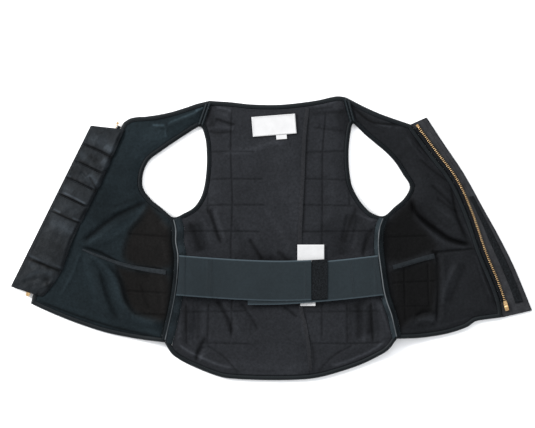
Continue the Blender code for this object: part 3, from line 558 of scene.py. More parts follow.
def belt_height(x):
    """Height of the belt's underside, which hangs between the two seams."""
    height = BELT_MIDDLE_HEIGHT
    for side in ("left", "right"):
        away = abs(x - seam_x(side, spot(0, BELT_SEAM_DOWN).y))
        rise = math.exp(-((away / BELT_RISE_LENGTH) ** 2))
        height += (BELT_END_HEIGHT - BELT_MIDDLE_HEIGHT) * rise
    return height


def belt_middle(x):
    """Line of the belt across the back, which dips in the middle."""
    share = min(abs(x) / (BACK_WIDTH / 2 * BELT_BOW_WIDTH), 1)
    seam = spot(0, BELT_SEAM_DOWN).y
    middle = spot(0, BELT_MIDDLE_DOWN).y
    return middle + (seam - middle) * share ** BELT_BOW_POWER


def front_edge(side):
    """Bound edge of a front from the neck down to the hem."""
    run = RUNS["right_neck"] if side == "right" else RUNS["left_corner"][::-1]
    return spline(run, 2)


def zip_line(side, reach, start, end, cells):
    """Chain beside a front edge, at a reach outside it."""
    sign = -1 if side == "right" else 1
    line = offset_chain(front_edge(side), sign * reach)
    return sampled(line, [start + (end - start) * share for share in even_shares(cells)])


def clear_span(chain, reaches, side):
    """The part of a seam line that lies clear of the bindings at both of its ends."""
    room = BINDING_WIDTH + 2 * GAP
    edge = inset_ring(OUTER_RING, [room] * len(OUTER_RING))
    hole = inset_ring(ARM_RINGS[side], [-room] * len(ARM_RINGS[side]))
    clear = []
    for share in even_shares(CLEAR_STEPS):
        here = at_share(chain, share)
        ahead = at_share(chain, min(share + CLEAR_STEP, 1))
        behind = at_share(chain, max(share - CLEAR_STEP, 0))
        across = right_of((ahead - behind).normalized())
        width = [across * reach * step for reach in reaches for step in even_shares(6)]
        if all(inside(here + move, edge) and not inside(here + move, hole) for move in width):
            clear.append(share)
    return clear[0], clear[-1]


# Places in the photograph

PIXEL = 0.0019
PHOTO_ORIGIN = (279.0, 242.4)
PHOTO_SIZE = (535, 428)


def seen(x, y):
    """Place in the plane of a pixel of the photograph."""
    return Vector(((x - PHOTO_ORIGIN[0]) * PIXEL, (PHOTO_ORIGIN[1] - y) * PIXEL))


# Folds of the lining: path in pixels, width left and right of it in pixels, height in millimetres
FOLDS = {
    "back": (
        (((215, 120.5), (224, 124), (234, 127)), 1.6, 2.4, -1.5),
        (((216, 124.5), (225, 128), (235, 130.5)), 2.0, 2.4, 1.0),
        (((209, 131), (219, 132), (230, 131)), 1.6, 2.0, -1.1),
        (((216, 104), (224, 106), (233, 109.5)), 1.8, 2.6, 1.2),
        (((217, 110), (228, 114.5)), 1.5, 2.0, -0.9),
        (((309, 109), (322, 106), (334, 101)), 1.6, 2.4, 1.2),
        (((309, 112), (327, 112.5), (345, 110.5)), 1.5, 2.0, -1.0),
        (((318, 125), (330, 128), (345, 130)), 1.5, 2.2, -1.2),
        (((222, 153), (249, 151), (273.6, 143), (288, 146)), 3.5, 4.0, 1.1),
        (((212, 208), (216, 224), (222, 243)), 2.0, 2.6, -2.0),
        (((217, 207), (221, 224), (228, 243)), 2.6, 2.8, 1.3),
        (((202, 211), (207, 219), (212, 228)), 1.8, 2.2, -1.6),
        (((184, 224), (188, 236), (193, 247)), 2.0, 2.4, -1.7),
        (((193, 216), (199, 232), (204, 250)), 2.4, 3.0, 1.3),
        (((349, 212), (346, 226), (342, 243)), 2.0, 2.2, -1.9),
        (((356, 213), (352, 228), (349, 243)), 2.4, 2.4, 1.2),
        (((369, 230), (366, 242), (363, 255)), 1.8, 2.2, -1.7),
        (((249, 238), (256, 250), (264, 261)), 2.0, 3.2, -1.8),
        (((256, 236), (264, 248), (272, 258)), 3.0, 3.0, 1.2),
        (((262, 203), (276, 226), (291, 249)), 3.0, 3.6, -1.0),
        (((196, 362), (199, 354), (204, 346)), 2.2, 2.4, -2.6),
        (((216.7, 298), (226, 312), (231, 322), (233, 334)), 2.0, 3.2, -1.7),
        (((224, 300), (235, 318), (239, 334)), 3.0, 3.0, 1.2),
        (((240.8, 302), (250, 316), (259, 331)), 2.0, 3.0, -1.4),
        (((283, 306), (290, 311), (298, 317.5)), 1.8, 2.4, -1.2),
        (((186, 303), (189, 322), (187, 341)), 2.4, 3.2, 1.3),
        (((194, 303), (196, 322), (193, 343)), 2.0, 2.2, -1.2),
        (((366, 302), (368, 322), (364, 345)), 2.6, 2.6, 1.2),
        (((375, 300), (379, 320), (380, 340)), 2.0, 2.4, -1.3),
        (((240, 345), (262, 338), (290, 341)), 4.0, 4.0, 0.8),
    ),
    "left_front": (
        (((150, 199), (131, 208.5), (112, 219), (95, 232), (81, 244)), 1.8, 3.2, -2.6),
        (((152, 206), (134, 214), (115, 226), (98, 238), (84, 247)), 6.0, 2.6, 2.6),
        (((150, 209), (136, 222), (118, 236), (96, 246)), 3.0, 3.0, 1.0),
        (((140, 204), (126, 209), (109, 214)), 3.0, 3.0, 1.0),
        (((79, 246), (100, 252.5), (117, 261.5), (130, 266), (168, 270)), 1.5, 2.0, -2.2),
        (((86, 252), (103, 264), (118.6, 281), (124, 300), (133, 314), (150, 320), (167, 321)),
         2.6, 7.0, 4.0),
        (((91, 258), (106, 277), (112, 298), (122, 318)), 3.0, 3.0, -1.7),
        (((85, 254), (98, 272), (103, 294), (112, 317)), 2.4, 5.0, 2.2),
        (((80, 256), (90, 280), (97, 306)), 4.0, 4.0, -0.8),
        (((137, 283), (141, 296), (150, 311)), 2.0, 2.4, -1.0),
        (((60, 297), (72, 275), (80, 252)), 1.6, 2.4, 1.0),
        (((154, 286), (157, 300), (160, 312)), 2.0, 2.0, 0.8),
        (((152, 127), (165.7, 127), (186, 118), (205, 108)), 1.2, 1.4, 0.9),
        (((165.7, 119), (165.7, 160)), 1.3, 1.3, 0.5),
        (((122, 125), (118, 132), (117, 146)), 1.6, 1.6, -0.8),
        (((112, 150), (106, 168), (97, 190)), 3.0, 3.0, -0.6),
    ),
    "right_front": (
        (((409, 135), (421, 151), (448, 178), (452, 193), (456.4, 216), (464, 228), (475, 247)),
         1.4, 1.6, -2.2),
        (((405, 137), (416, 153), (441, 180), (447, 195), (451, 216), (459, 229), (469, 243)),
         3.0, 5.0, 1.6),
        (((419, 158), (432, 170), (449, 182)), 1.5, 2.0, -0.9),
        (((427, 174), (438, 184), (451, 194)), 1.5, 2.0, -1.0),
        (((430, 184), (441, 194), (453, 206)), 1.5, 2.2, -1.0),
        (((436, 197), (447, 206), (459, 213)), 1.5, 2.0, -0.9),
        (((411, 196), (415, 211), (427, 223), (440.7, 233), (452, 240), (474, 246)), 1.8, 3.0, -4.2),
        (((413, 211), (424, 226), (438, 237), (450, 243), (472, 248.5)), 2.2, 4.0, 1.6),
        (((433, 252.5), (455, 250.5), (476, 248.5)), 1.4, 1.6, -1.8),
        (((437, 251), (438.5, 275), (438, 301), (437, 326)), 2.0, 2.2, -2.4),
        (((443, 253), (444, 275), (443, 300), (443, 322)), 3.0, 2.6, 1.7),
        (((460, 260), (449, 280), (442, 303)), 2.6, 3.4, 1.6),
        (((466, 263), (458, 283), (448, 306)), 2.4, 3.0, -1.2),
        (((474, 253), (478, 275), (488, 305)), 2.4, 2.4, 1.0),
        (((416, 325), (423, 318.5), (434, 323)), 2.4, 2.8, 2.4),
        (((413, 320), (423, 313), (436, 316)), 1.6, 2.0, -1.4),
        (((346, 108), (363, 119), (377, 127), (393, 130), (404, 132)), 2.2, 2.6, 1.0),
        (((378, 125.6), (392, 129)), 1.0, 1.0, 0.8),
    ),
}

# Sewn lines of the foam squares, which show through the lining
QUILT = {
    "back": (
        ((232, 106), (231, 150), (232.5, 200), (231, 250), (232, 300), (231, 345)),
        ((208, 140), (207.5, 180), (208, 216)),
        ((326.7, 106), (323, 150), (322.5, 200), (322, 250), (322, 300), (322, 345)),
        ((346, 130), (347, 170), (350, 208)),
        ((206, 152), (232, 151.5), (256, 152)),
        ((306, 152.5), (349, 151)),
        ((205, 179.5), (232, 179), (264, 179)),
        ((304, 179), (350, 180)),
        ((204, 205.5), (232, 205), (266, 205)),
        ((302, 205), (357, 206)),
        ((182, 231.4), (235, 231.4), (262, 232)),
        ((301, 232), (374, 231)),
        ((180, 311.7), (212, 311.7), (248, 311)),
        ((305, 312), (382, 311)),
        ((200, 343), (226, 343.3), (252, 344)),
        ((310, 343.3), (353, 343.5), (384, 342)),
        ((206.7, 345), (221.7, 355), (231, 364), (238.3, 374)),
        ((353, 345), (335, 355), (325, 364), (318, 373)),
        ((186, 303), (187, 345)),
        ((209, 303), (207.5, 345)),
        ((371, 302), (373, 343)),
        ((347, 303), (347.5, 345)),
    ),
    "left_front": (
        ((128, 234), (170, 237)),
        ((126, 291), (168, 293)),
        ((134, 313.6), (168, 315)),
    ),
    "right_front": (
        ((386, 237), (428, 236)),
        ((391, 283), (436, 281)),
        ((392, 307), (432, 306)),
        ((404, 266), (405, 322)),
        ((428, 262), (429, 306)),
    ),
}
QUILT_WIDTH = 0.95
QUILT_DEPTH = 0.0013

# Regions where the lining sinks or stands up: corners in pixels, soft edge in pixels, millimetres
REGIONS = {
    "back": (),
    "left_front": (
        (((149, 204), (140, 219), (128, 236), (127, 262), (170, 267), (171, 232), (165, 222)),
         5.0, -2.4),
        (((116, 266), (140, 271), (169, 275), (167, 318), (150, 318), (133, 311), (125, 296),
          (121, 281)), 4.0, -3.2),
    ),
    "right_front": (
        (((384, 227), (411, 200), (415, 218), (426, 231), (433, 241), (433.6, 250), (389, 262)),
         4.0, -2.6),
        (((390, 272), (434, 261), (435, 300), (430, 313), (414, 318), (397, 330), (393, 312)),
         4.0, -3.0),
        (((412, 141), (444, 178), (450, 204), (459, 228), (468, 240), (450, 236), (430, 222),
          (418, 209), (413, 196), (411, 184), (404, 170), (395, 152)), 7.0, 1.8),
        (((438, 254), (474, 251), (484, 280), (492, 308), (470, 314), (445, 322)), 4.0, 0.8),
    ),
}

# Painted light and shade on the lining: painted shade in the regions above that sink, and these
# strokes with their widths, painted shade where the strength is positive and painted highlight where
# it is negative
PAINTED_LIGHT_AND_SHADE = {
    "back": (
        (((214, 118), (226, 122), (236, 125)), 1.3, 0.6),
        (((208, 131), (219, 133), (234, 131)), 1.4, 0.55),
        (((216, 107), (226, 109), (232, 112)), 1.2, -0.7),
        (((215, 112), (228, 116)), 1.4, -0.3),
        (((214, 126), (236, 129)), 2.0, -0.25),
        (((211, 106), (217, 104), (226, 104.5)), 1.2, 0.5),
        (((312, 106), (324, 104), (338, 101)), 1.4, -0.5),
        (((308, 115), (326, 113), (348, 111)), 2.2, 0.4),
        (((308, 110), (322, 108.5), (334, 107)), 1.2, 0.35),
        (((312, 127), (330, 129.5), (346, 131)), 1.2, 0.4),
        (((222, 153), (249, 151), (273, 143), (288, 146)), 3.0, -0.35),
        (((309.5, 105), (306.5, 150), (304.5, 200), (302.5, 241)), 1.3, 0.5),
        (((297, 165), (296, 200), (294, 238)), 5.0, -0.12),
        (((207, 206), (214, 225), (222, 246)), 2.2, 0.55),
        (((214, 208), (220, 226), (226, 240)), 2.4, -0.25),
        (((189, 220), (196, 236), (201, 252)), 4.0, 0.5),
        (((192, 222), (196, 238), (199, 254)), 11.0, 0.35),
        (((236, 250), (250, 256), (275, 259)), 7.0, 0.25),
        (((345, 232), (344, 244), (343, 256)), 9.0, 0.25),
        (((179, 222), (184, 234), (187, 248)), 2.4, -0.2),
        (((202, 216), (207, 230), (211, 246)), 2.4, -0.25),
        (((249, 238), (256, 250), (264, 262)), 1.8, 0.6),
        (((277, 250), (284, 257), (289, 263)), 2.6, 0.5),
        (((262, 205), (276, 226), (291, 249)), 3.5, -0.22),
        (((228, 214), (238, 232), (244, 250)), 4.0, 0.2),
        (((357, 205), (350, 222), (343, 245)), 2.2, 0.5),
        (((373, 226), (366, 242), (362, 258)), 2.0, 0.55),
        (((355, 213), (364, 217), (373, 221)), 1.3, -0.45),
        (((359, 222), (356, 236), (352, 250)), 2.6, -0.3),
        (((332, 160), (331, 200), (326, 232)), 4.0, -0.18),
        (((216, 298), (228, 320), (232, 336)), 2.2, 0.5),
        (((222, 300), (236, 322), (240, 338)), 3.0, -0.22),
        (((240.8, 302), (250, 316), (259, 331)), 1.4, 0.45),
        (((283, 306), (291, 312), (298, 317.5)), 1.6, 0.5),
        (((196, 362), (198, 350), (206, 336)), 2.2, 0.65),
        (((205, 352), (199, 360)), 1.5, -0.4),
        (((177, 342), (187, 350), (202, 357.5), (217, 364), (233, 368)), 1.3, -1.2),
        (((236, 372.5), (270, 373.5), (300, 373)), 1.4, -0.35),
        (((330, 366.5), (345, 362), (359.5, 356), (373, 349.5), (386, 339.5)), 1.3, -1.2),
        (((181, 302), (180, 322), (178, 342)), 1.8, -0.35),
        (((186, 302), (186, 322), (184, 344)), 1.8, 0.35),
        (((191, 302), (191, 325), (190, 348)), 1.6, -0.2),
        (((197, 303), (198, 320), (197, 342)), 2.0, 0.35),
        (((204, 303), (204, 320), (202, 336)), 2.0, -0.2),
        (((349, 303), (350, 323), (349, 343)), 2.4, 0.25),
        (((357, 302), (358, 320), (358, 341)), 3.0, 0.4),
        (((338, 110), (344, 122), (346, 136)), 8.0, 0.3),
        (((207, 106), (211, 118), (213, 128)), 4.5, 0.4),
        (((322, 222), (334, 236), (340, 258)), 12.0, 0.36),
        (((350, 212), (360, 234), (370, 252)), 10.0, 0.38),
        (((256, 259), (280, 261), (296, 261)), 6.0, 0.42),
        (((356, 300), (364, 316), (370, 336)), 10.0, 0.45),
        (((176, 300), (184, 316), (190, 334)), 9.0, 0.3),
        (((222, 363), (260, 367), (300, 368), (342, 360)), 5.0, -0.3),
        (((270, 132), (280, 168), (286, 206)), 15.0, -0.15),
        (((363, 303), (365, 323), (364, 345)), 2.0, -0.35),
        (((370, 301), (371, 322), (373, 342)), 2.2, 0.45),
        (((379, 300), (384, 318), (389, 334)), 1.6, -0.6),
        (((182, 302), (240, 306), (310, 306), (380, 301)), 3.5, 0.25),
        (((300, 306), (303, 330), (309, 350), (310, 374)), 1.6, -0.3),
        (((304, 306), (307, 330), (313, 350), (314, 374)), 1.2, 0.4),
    ),
    "left_front": (
        (((168, 132), (150, 150), (138, 164)), 16.0, -0.28),
        (((110, 180), (104, 205), (98, 225)), 12.0, 0.22),
        (((152, 125.1), (165, 125.4)), 1.1, -1.8),
        (((167, 125), (173, 121), (190, 114.5), (198, 110.5)), 1.1, -1.3),
        (((195, 111), (205, 107)), 1.2, -1.8),
        (((150, 160), (175, 143.5), (200, 122)), 2.0, -0.3),
        (((165.7, 126), (165.7, 138)), 1.0, -0.6),
        (((140, 140), (152, 136), (175, 133), (195, 121)), 6.0, -0.25),
        (((124, 121), (140, 120), (160, 119), (185, 110), (203, 100)), 1.3, 0.4),
        (((122, 126), (121, 136), (117, 145)), 1.3, 0.45),
        (((119, 126), (117, 138), (112, 150)), 1.4, -0.3),
        (((85, 243.5), (100, 238), (118, 230), (135, 217), (147, 206)), 3.0, -0.4),
        (((150, 199.5), (131, 208.5), (112, 219), (95, 232), (81, 244)), 2.2, 0.65),
        (((116, 224), (128, 214), (143, 205)), 4.0, 0.3),
        (((141, 196), (126, 202), (112, 207)), 1.8, 0.3),
        (((88, 252), (102, 263), (114, 281), (120, 300), (130, 313)), 3.5, -0.32),
        (((106, 262), (117, 275), (122, 292), (128, 307)), 2.4, 0.4),
        (((98, 270), (105, 290), (112, 308), (118, 322)), 2.6, 0.4),
        (((84, 256), (90, 280), (96, 306)), 4.0, -0.2),
        (((130, 315), (148, 320), (164, 321)), 3.2, -0.4),
        (((146, 330), (161, 334)), 2.0, -0.35),
        (((79, 246), (100, 252.5), (117, 261.5), (130, 266), (168, 270)), 1.5, 0.7),
        (((171, 224), (173, 262), (170, 300), (164, 338)), 3.0, 0.75),
        (((160, 221), (168, 229)), 3.5, -0.6),
        (((141, 206), (148, 218), (156, 232)), 4.0, -0.25),
        (((163, 240), (166, 262)), 2.0, -0.35),
        (((131, 240), (150, 243), (166, 240)), 5.0, -0.15),
        (((160, 276), (163, 300), (162, 315)), 2.4, -0.3),
        (((140, 283), (144, 297), (150, 310)), 2.0, 0.35),
        (((134, 271), (150, 276)), 3.0, 0.35),
        (((34, 299), (80, 316.5), (120, 328.5), (160, 337)), 1.2, 0.6),
        (((45, 299), (82, 312), (120, 324), (150, 331)), 2.0, -0.15),
        (((60, 297), (72, 275), (81, 251)), 1.4, -0.3),
        (((104, 170), (98, 190), (90, 205), (84, 220)), 3.0, 0.18),
    ),
    "right_front": (
        (((376, 124), (392, 126.8)), 1.1, -1.1),
        (((394, 127.5), (403, 128)), 1.0, -0.5),
        (((349, 104), (368, 120), (382, 124), (402, 124.5), (409, 131)), 1.3, 0.65),
        (((352, 104), (372, 117), (388, 121.5), (404, 122)), 1.2, -0.3),
        (((409, 131), (421, 147), (447, 176), (452, 193), (457, 216), (468, 245)), 1.6, 0.65),
        (((405, 135), (416, 150), (424, 162)), 1.6, -0.45),
        (((419, 158), (432, 170), (449, 182)), 1.3, 0.45),
        (((426, 160), (438, 169), (447, 176)), 1.6, -0.3),
        (((430, 184), (441, 194), (453, 206)), 1.3, 0.45),
        (((434, 182), (444, 191), (452, 200)), 1.3, -0.25),
        (((436, 197), (447, 206), (459, 213)), 1.3, 0.4),
        (((431, 201), (444, 213), (458, 222)), 1.6, -0.22),
        (((424, 204), (437, 218), (452, 230)), 1.6, 0.22),
        (((411, 197), (415, 211), (427, 223), (440.7, 233), (452, 240), (474, 246)), 2.6, 0.85),
        (((416, 203), (424, 216), (437, 228)), 4.0, 0.4),
        (((419, 222), (436, 238), (452, 246), (470, 247.5)), 2.0, -0.45),
        (((431, 250), (437, 255)), 2.4, 0.85),
        (((437, 252), (438, 278), (437.5, 301), (436, 326)), 2.2, 0.5),
        (((433, 252.5), (455, 250.5), (476, 248.5)), 1.2, 0.6),
        (((456, 262), (447, 285), (442, 306)), 3.2, -0.45),
        (((467, 262), (458, 283), (449, 306)), 2.6, 0.25),
        (((475, 254), (482, 276), (492, 300)), 1.1, -0.6),
        (((480, 258), (488, 284), (497, 308)), 2.0, 0.45),
        (((418, 322), (427, 318), (437, 322)), 2.6, -0.6),
        (((415, 316), (424, 310), (436, 312)), 2.2, 0.5),
        (((400, 331.5), (430, 328.5), (472, 317)), 1.4, -0.35),
        (((396, 264.5), (411, 261), (427, 258)), 1.0, -0.35),
        (((396, 307), (412, 306.5), (428, 305.5)), 1.0, -0.35),
        (((395.5, 265), (396, 286), (396, 306)), 1.0, -0.25),
        (((428, 258), (429, 282), (428.5, 304)), 1.2, -0.35),
        (((385, 226), (385, 262), (391, 300), (398, 332)), 3.2, 0.5),
        (((404, 150), (413, 168), (420, 186)), 5.0, -0.12),
        (((464, 222), (471, 238), (477, 250)), 1.2, -0.45),
    ),
}


# Fields over many points

def flat_array(points):
    return np.array([(p[0], p[1]) for p in points], float)


def chain_distance(points, chain):
    """Distance to a chain, which side of it a point is on, and the share along it."""
    chain = flat_array(chain)
    steps = np.linalg.norm(chain[1:] - chain[:-1], axis=1)
    run = np.concatenate([[0], np.cumsum(steps)])
    nearest = np.full(len(points), np.inf)
    side = np.zeros(len(points))
    along = np.zeros(len(points))
    for index, (a, b) in enumerate(zip(chain, chain[1:])):
        edge = b - a
        offset = points - a
        share = np.clip(offset @ edge / max(edge @ edge, 1e-12), 0, 1)
        away = np.linalg.norm(offset - share[:, None] * edge, axis=1)
        closer = away < nearest
        nearest[closer] = away[closer]
        side[closer] = (edge[0] * offset[:, 1] - edge[1] * offset[:, 0])[closer]
        along[closer] = (run[index] + share[closer] * steps[index]) / run[-1]
    return nearest, side, along


def smooth(value, low, high):
    """Eased step from 0 at low to 1 at high."""
    share = np.clip((value - low) / (high - low), 0, 1)
    return share * share * (3 - 2 * share)


def pixel_path(places, steps=6):
    return spline([seen(x, y) for x, y in places], steps)


def stroke(points, places, left, right, ends=0.12):
    """Soft mark along a path, with its own width on either side and faded ends."""
    away, side, along = chain_distance(points, pixel_path(places))
    width = np.where(side > 0, left, right) * PIXEL
    fade = smooth(along, 0, ends) * smooth(1 - along, 0, ends)
    return np.exp(-((away / width) ** 2)) * fade


def enclosed(points, corners):
    """Which points lie inside a closed outline."""
    within = np.zeros(len(points), bool)
    for a, b in zip(corners, np.roll(corners, -1, axis=0)):
        crosses = (a[1] > points[:, 1]) != (b[1] > points[:, 1])
        rise = b[1] - a[1] if abs(b[1] - a[1]) > 1e-12 else 1e-12
        at = a[0] + (points[:, 1] - a[1]) / rise * (b[0] - a[0])
        within ^= crosses & (points[:, 0] < at)
    return within


def region(points, places, soft):
    """1 inside a region of the photograph and 0 outside, with a soft edge."""
    ring = [seen(x, y) for x, y in places]
    ring = spline(ring + ring[:1], 4)
    away = chain_distance(points, ring)[0]
    signed = np.where(enclosed(points, flat_array(ring)), away, -away)
    return smooth(signed, -soft * PIXEL / 2, soft * PIXEL / 2)


def ripples(points, wave, waves=7):
    """Uneven gentle waves of about one wavelength."""
    total = np.zeros(len(points))
    for _ in range(waves):
        angle = DICE.uniform(0, math.pi)
        stretch = DICE.uniform(0.7, 1.5) * wave
        phase = DICE.uniform(0, 2 * math.pi)
        run = points[:, 0] * math.cos(angle) + points[:, 1] * math.sin(angle)
        total += np.sin(2 * math.pi * run / stretch + phase)
    return total / waves


def lift_field(points):
    """The lift of the underside near the side seams, for many points."""
    nearest = np.full(len(points), np.inf)
    for chain in SIDE_LINES.values():
        nearest = np.minimum(nearest, chain_distance(points, chain)[0])
    floor = math.exp(-(SEAM_FADE ** 2))
    rise = np.exp(-((nearest / SEAM_SPREAD) ** 2))
    return SEAM_LIFT * np.maximum(0, rise - floor) / (1 - floor)


# Meshes

def mesh_piece(name, points, faces, finishes, marks=None, smooth_faces=True):
    """Object of points and faces that rides on the vest."""
    mesh = bpy.data.meshes.new(name)
    mesh.from_pydata([tuple(p) for p in points], [], [tuple(f) for f in faces])
    for finish in finishes:
        mesh.materials.append(finish)
    if marks is not None:
        mesh.polygons.foreach_set("material_index", np.array(marks, np.int32))
    mesh.polygons.foreach_set("use_smooth", np.full(len(mesh.polygons), smooth_faces))
    mesh.update()
    piece = bpy.data.objects.new(name, mesh)
    bpy.context.scene.collection.objects.link(piece)
    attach(piece, "root")
    return piece


def slab_faces(rows, columns, step=1):
    """Faces of a closed slab: a fine top, its rim, and an underside coarser by step."""
    under = rows * columns
    low_columns = (columns - 1) // step + 1
    low_rows = (rows - 1) // step + 1

    def top(row, column):
        return row * columns + column

    def low(row, column):
        return under + row * low_columns + column

    faces = []
    for row in range(rows - 1):
        for column in range(columns - 1):
            faces.append((top(row, column), top(row + 1, column),
                          top(row + 1, column + 1), top(row, column + 1)))
    tops = len(faces)
    for row in range(low_rows - 1):
        for column in range(low_columns - 1):
            faces.append((low(row, column), low(row, column + 1),
                          low(row + 1, column + 1), low(row + 1, column)))
    last_row = rows - 1
    last_column = columns - 1
    for index in range(low_columns - 1):
        run = range(index * step, (index + 1) * step + 1)
        faces.append([top(0, c) for c in run] + [low(0, index + 1), low(0, index)])
        faces.append([top(last_row, c) for c in reversed(run)]
                     + [low(low_rows - 1, index), low(low_rows - 1, index + 1)])
    for index in range(low_rows - 1):
        run = range(index * step, (index + 1) * step + 1)
        faces.append([top(r, 0) for r in reversed(run)] + [low(index, 0), low(index + 1, 0)])
        faces.append([top(r, last_column) for r in run]
                     + [low(index + 1, low_columns - 1), low(index, low_columns - 1)])
    return faces, tops


def slab_piece(name, upper, lower, finishes, step=1):
    """Closed slab between a fine grid and an equal or coarser one beneath it."""
    rows, columns = upper.shape[:2]
    faces, tops = slab_faces(rows, columns, step)
    points = np.concatenate([upper.reshape(-1, 3), lower.reshape(-1, 3)])
    marks = [0 if index < tops or len(finishes) == 1 else 1 for index in range(len(faces))]
    return mesh_piece(name, points, faces, finishes, marks)


def loft_piece(name, stations, finishes, closed=False):
    """Closed solid through rings of points."""
    count, sides = stations.shape[:2]
    faces = []
    for index in range(count if closed else count - 1):
        here = index * sides
        there = (index + 1) % count * sides
        for corner in range(sides):
            after = (corner + 1) % sides
            faces.append((here + corner, here + after, there + after, there + corner))
    if not closed:
        faces.append(tuple(reversed(range(sides))))
        faces.append(tuple((count - 1) * sides + corner for corner in range(sides)))
    piece = mesh_piece(name, stations.reshape(-1, 3), faces, finishes)
    face_out(piece)
    return piece


def face_out(piece):
    """Turn all faces outwards."""
    volume = 0.0
    mesh = piece.data
    for face in mesh.polygons:
        corners = [mesh.vertices[index].co for index in face.vertices]
        for b, c in zip(corners[1:], corners[2:]):
            volume += corners[0].dot(b.cross(c))
    if volume < 0:
        mesh.flip_normals()


def tint(piece, name, values):
    """A value for each point of a mesh, read by its material."""
    layer = piece.data.attributes.new(name, "FLOAT", "POINT")
    full = np.ones(len(piece.data.vertices), np.float32)
    full[:len(values)] = values
    layer.data.foreach_set("value", full)


def surface_tree(*pieces):
    """Search tree over finished pieces."""
    points = []
    faces = []
    for piece in pieces:
        start = len(points)
        points += [corner.co for corner in piece.data.vertices]
        faces += [[start + i for i in face.vertices] for face in piece.data.polygons]
    return BVHTree.FromPolygons(points, faces)


def top_of(tree, x, y, otherwise=0.0):
    hit = tree.ray_cast(Vector((x, y, 1)), DOWN)[0]
    return otherwise if hit is None else hit.z


# Finishes

class Nodes:
    """Material with short calls to add and join its nodes."""

    def __init__(self, name, roughness, metallic=0.0, specular=0.5, sheen=0.0, coat=0.0):
        self.finish = bpy.data.materials.new(name)
        self.finish.use_nodes = True
        self.tree = self.finish.node_tree
        self.shader = self.tree.nodes["Principled BSDF"]
        self.shader.inputs["Roughness"].default_value = roughness
        self.shader.inputs["Metallic"].default_value = metallic
        self.shader.inputs["Specular IOR Level"].default_value = specular
        self.shader.inputs["Sheen Weight"].default_value = sheen
        self.shader.inputs["Coat Weight"].default_value = coat
        self.place = self.add("ShaderNodeTexCoord").outputs["Object"]

    def add(self, kind, **settings):
        node = self.tree.nodes.new(kind)
        for name, value in settings.items():
            setattr(node, name, value)
        return node

    def join(self, output, socket):
        self.tree.links.new(output, socket)

    def noise(self, scale, detail=3.0, rough=0.55):
        node = self.add("ShaderNodeTexNoise")
        node.inputs["Scale"].default_value = scale
        node.inputs["Detail"].default_value = detail
        node.inputs["Roughness"].default_value = rough
        self.join(self.place, node.inputs["Vector"])
        return node.outputs["Fac"]

    def cells(self, scale, feature="F1"):
        node = self.add("ShaderNodeTexVoronoi", feature=feature)
        node.inputs["Scale"].default_value = scale
        self.join(self.place, node.inputs["Vector"])
        return node.outputs["Distance"]

    def bands(self, pitch, direction, distortion=0.0):
        """Even bands; pitch is from crest to crest."""
        node = self.add("ShaderNodeTexWave", wave_type="BANDS", bands_direction=direction)
        node.inputs["Scale"].default_value = math.pi / 10 / pitch
        node.inputs["Distortion"].default_value = distortion
        node.inputs["Detail"].default_value = 1.0
        self.join(self.place, node.inputs["Vector"])
        return node.outputs["Fac"]

    def sum(self, a, b, operation="ADD"):
        node = self.add("ShaderNodeMath", operation=operation)
        for value, socket in ((a, node.inputs[0]), (b, node.inputs[1])):
            if isinstance(value, (int, float)):
                socket.default_value = value
            else:
                self.join(value, socket)
        return node.outputs[0]

    def range(self, value, low, high, to_low, to_high):
        node = self.add("ShaderNodeMapRange")
        self.join(value, node.inputs["Value"])
        for name, number in (("From Min", low), ("From Max", high),
                             ("To Min", to_low), ("To Max", to_high)):
            node.inputs[name].default_value = number
        return node.outputs["Result"]

    def mixed(self, share, a, b, blend="MIX"):
        node = self.add("ShaderNodeMix", data_type="RGBA", blend_type=blend)
        if isinstance(share, (int, float)):
            node.inputs["Factor"].default_value = share
        else:
            self.join(share, node.inputs["Factor"])
        for value, socket in ((a, node.inputs["A"]), (b, node.inputs["B"])):
            pair = [s for s in node.inputs if s.type == "RGBA" and s.name == socket.name]
            if isinstance(value, tuple):
                pair[0].default_value = (*value, 1)
            else:
                self.join(value, pair[0])
        return [s for s in node.outputs if s.type == "RGBA"][0]

    def grey(self, value):
        node = self.add("ShaderNodeCombineColor")
        for channel in ("Red", "Green", "Blue"):
            self.join(value, node.inputs[channel])
        return node.outputs["Color"]

    def mark(self, name):
        node = self.add("ShaderNodeAttribute", attribute_name=name, attribute_type="GEOMETRY")
        return node.outputs["Fac"]

    def bump(self, height, distance, before=None):
        node = self.add("ShaderNodeBump")
        node.inputs["Strength"].default_value = 1.0
        node.inputs["Distance"].default_value = distance
        self.join(height, node.inputs["Height"])
        if before is not None:
            self.join(before, node.inputs["Normal"])
        return node.outputs["Normal"]

    def done(self, colour=None, roughness=None, normal=None):
        if colour is not None:
            self.join(colour, self.shader.inputs["Base Color"])
        if roughness is not None:
            self.join(roughness, self.shader.inputs["Roughness"])
        if normal is not None:
            self.join(normal, self.shader.inputs["Normal"])
        return self.finish


def scaled(colour, share):
    return tuple(channel * share for channel in colour)


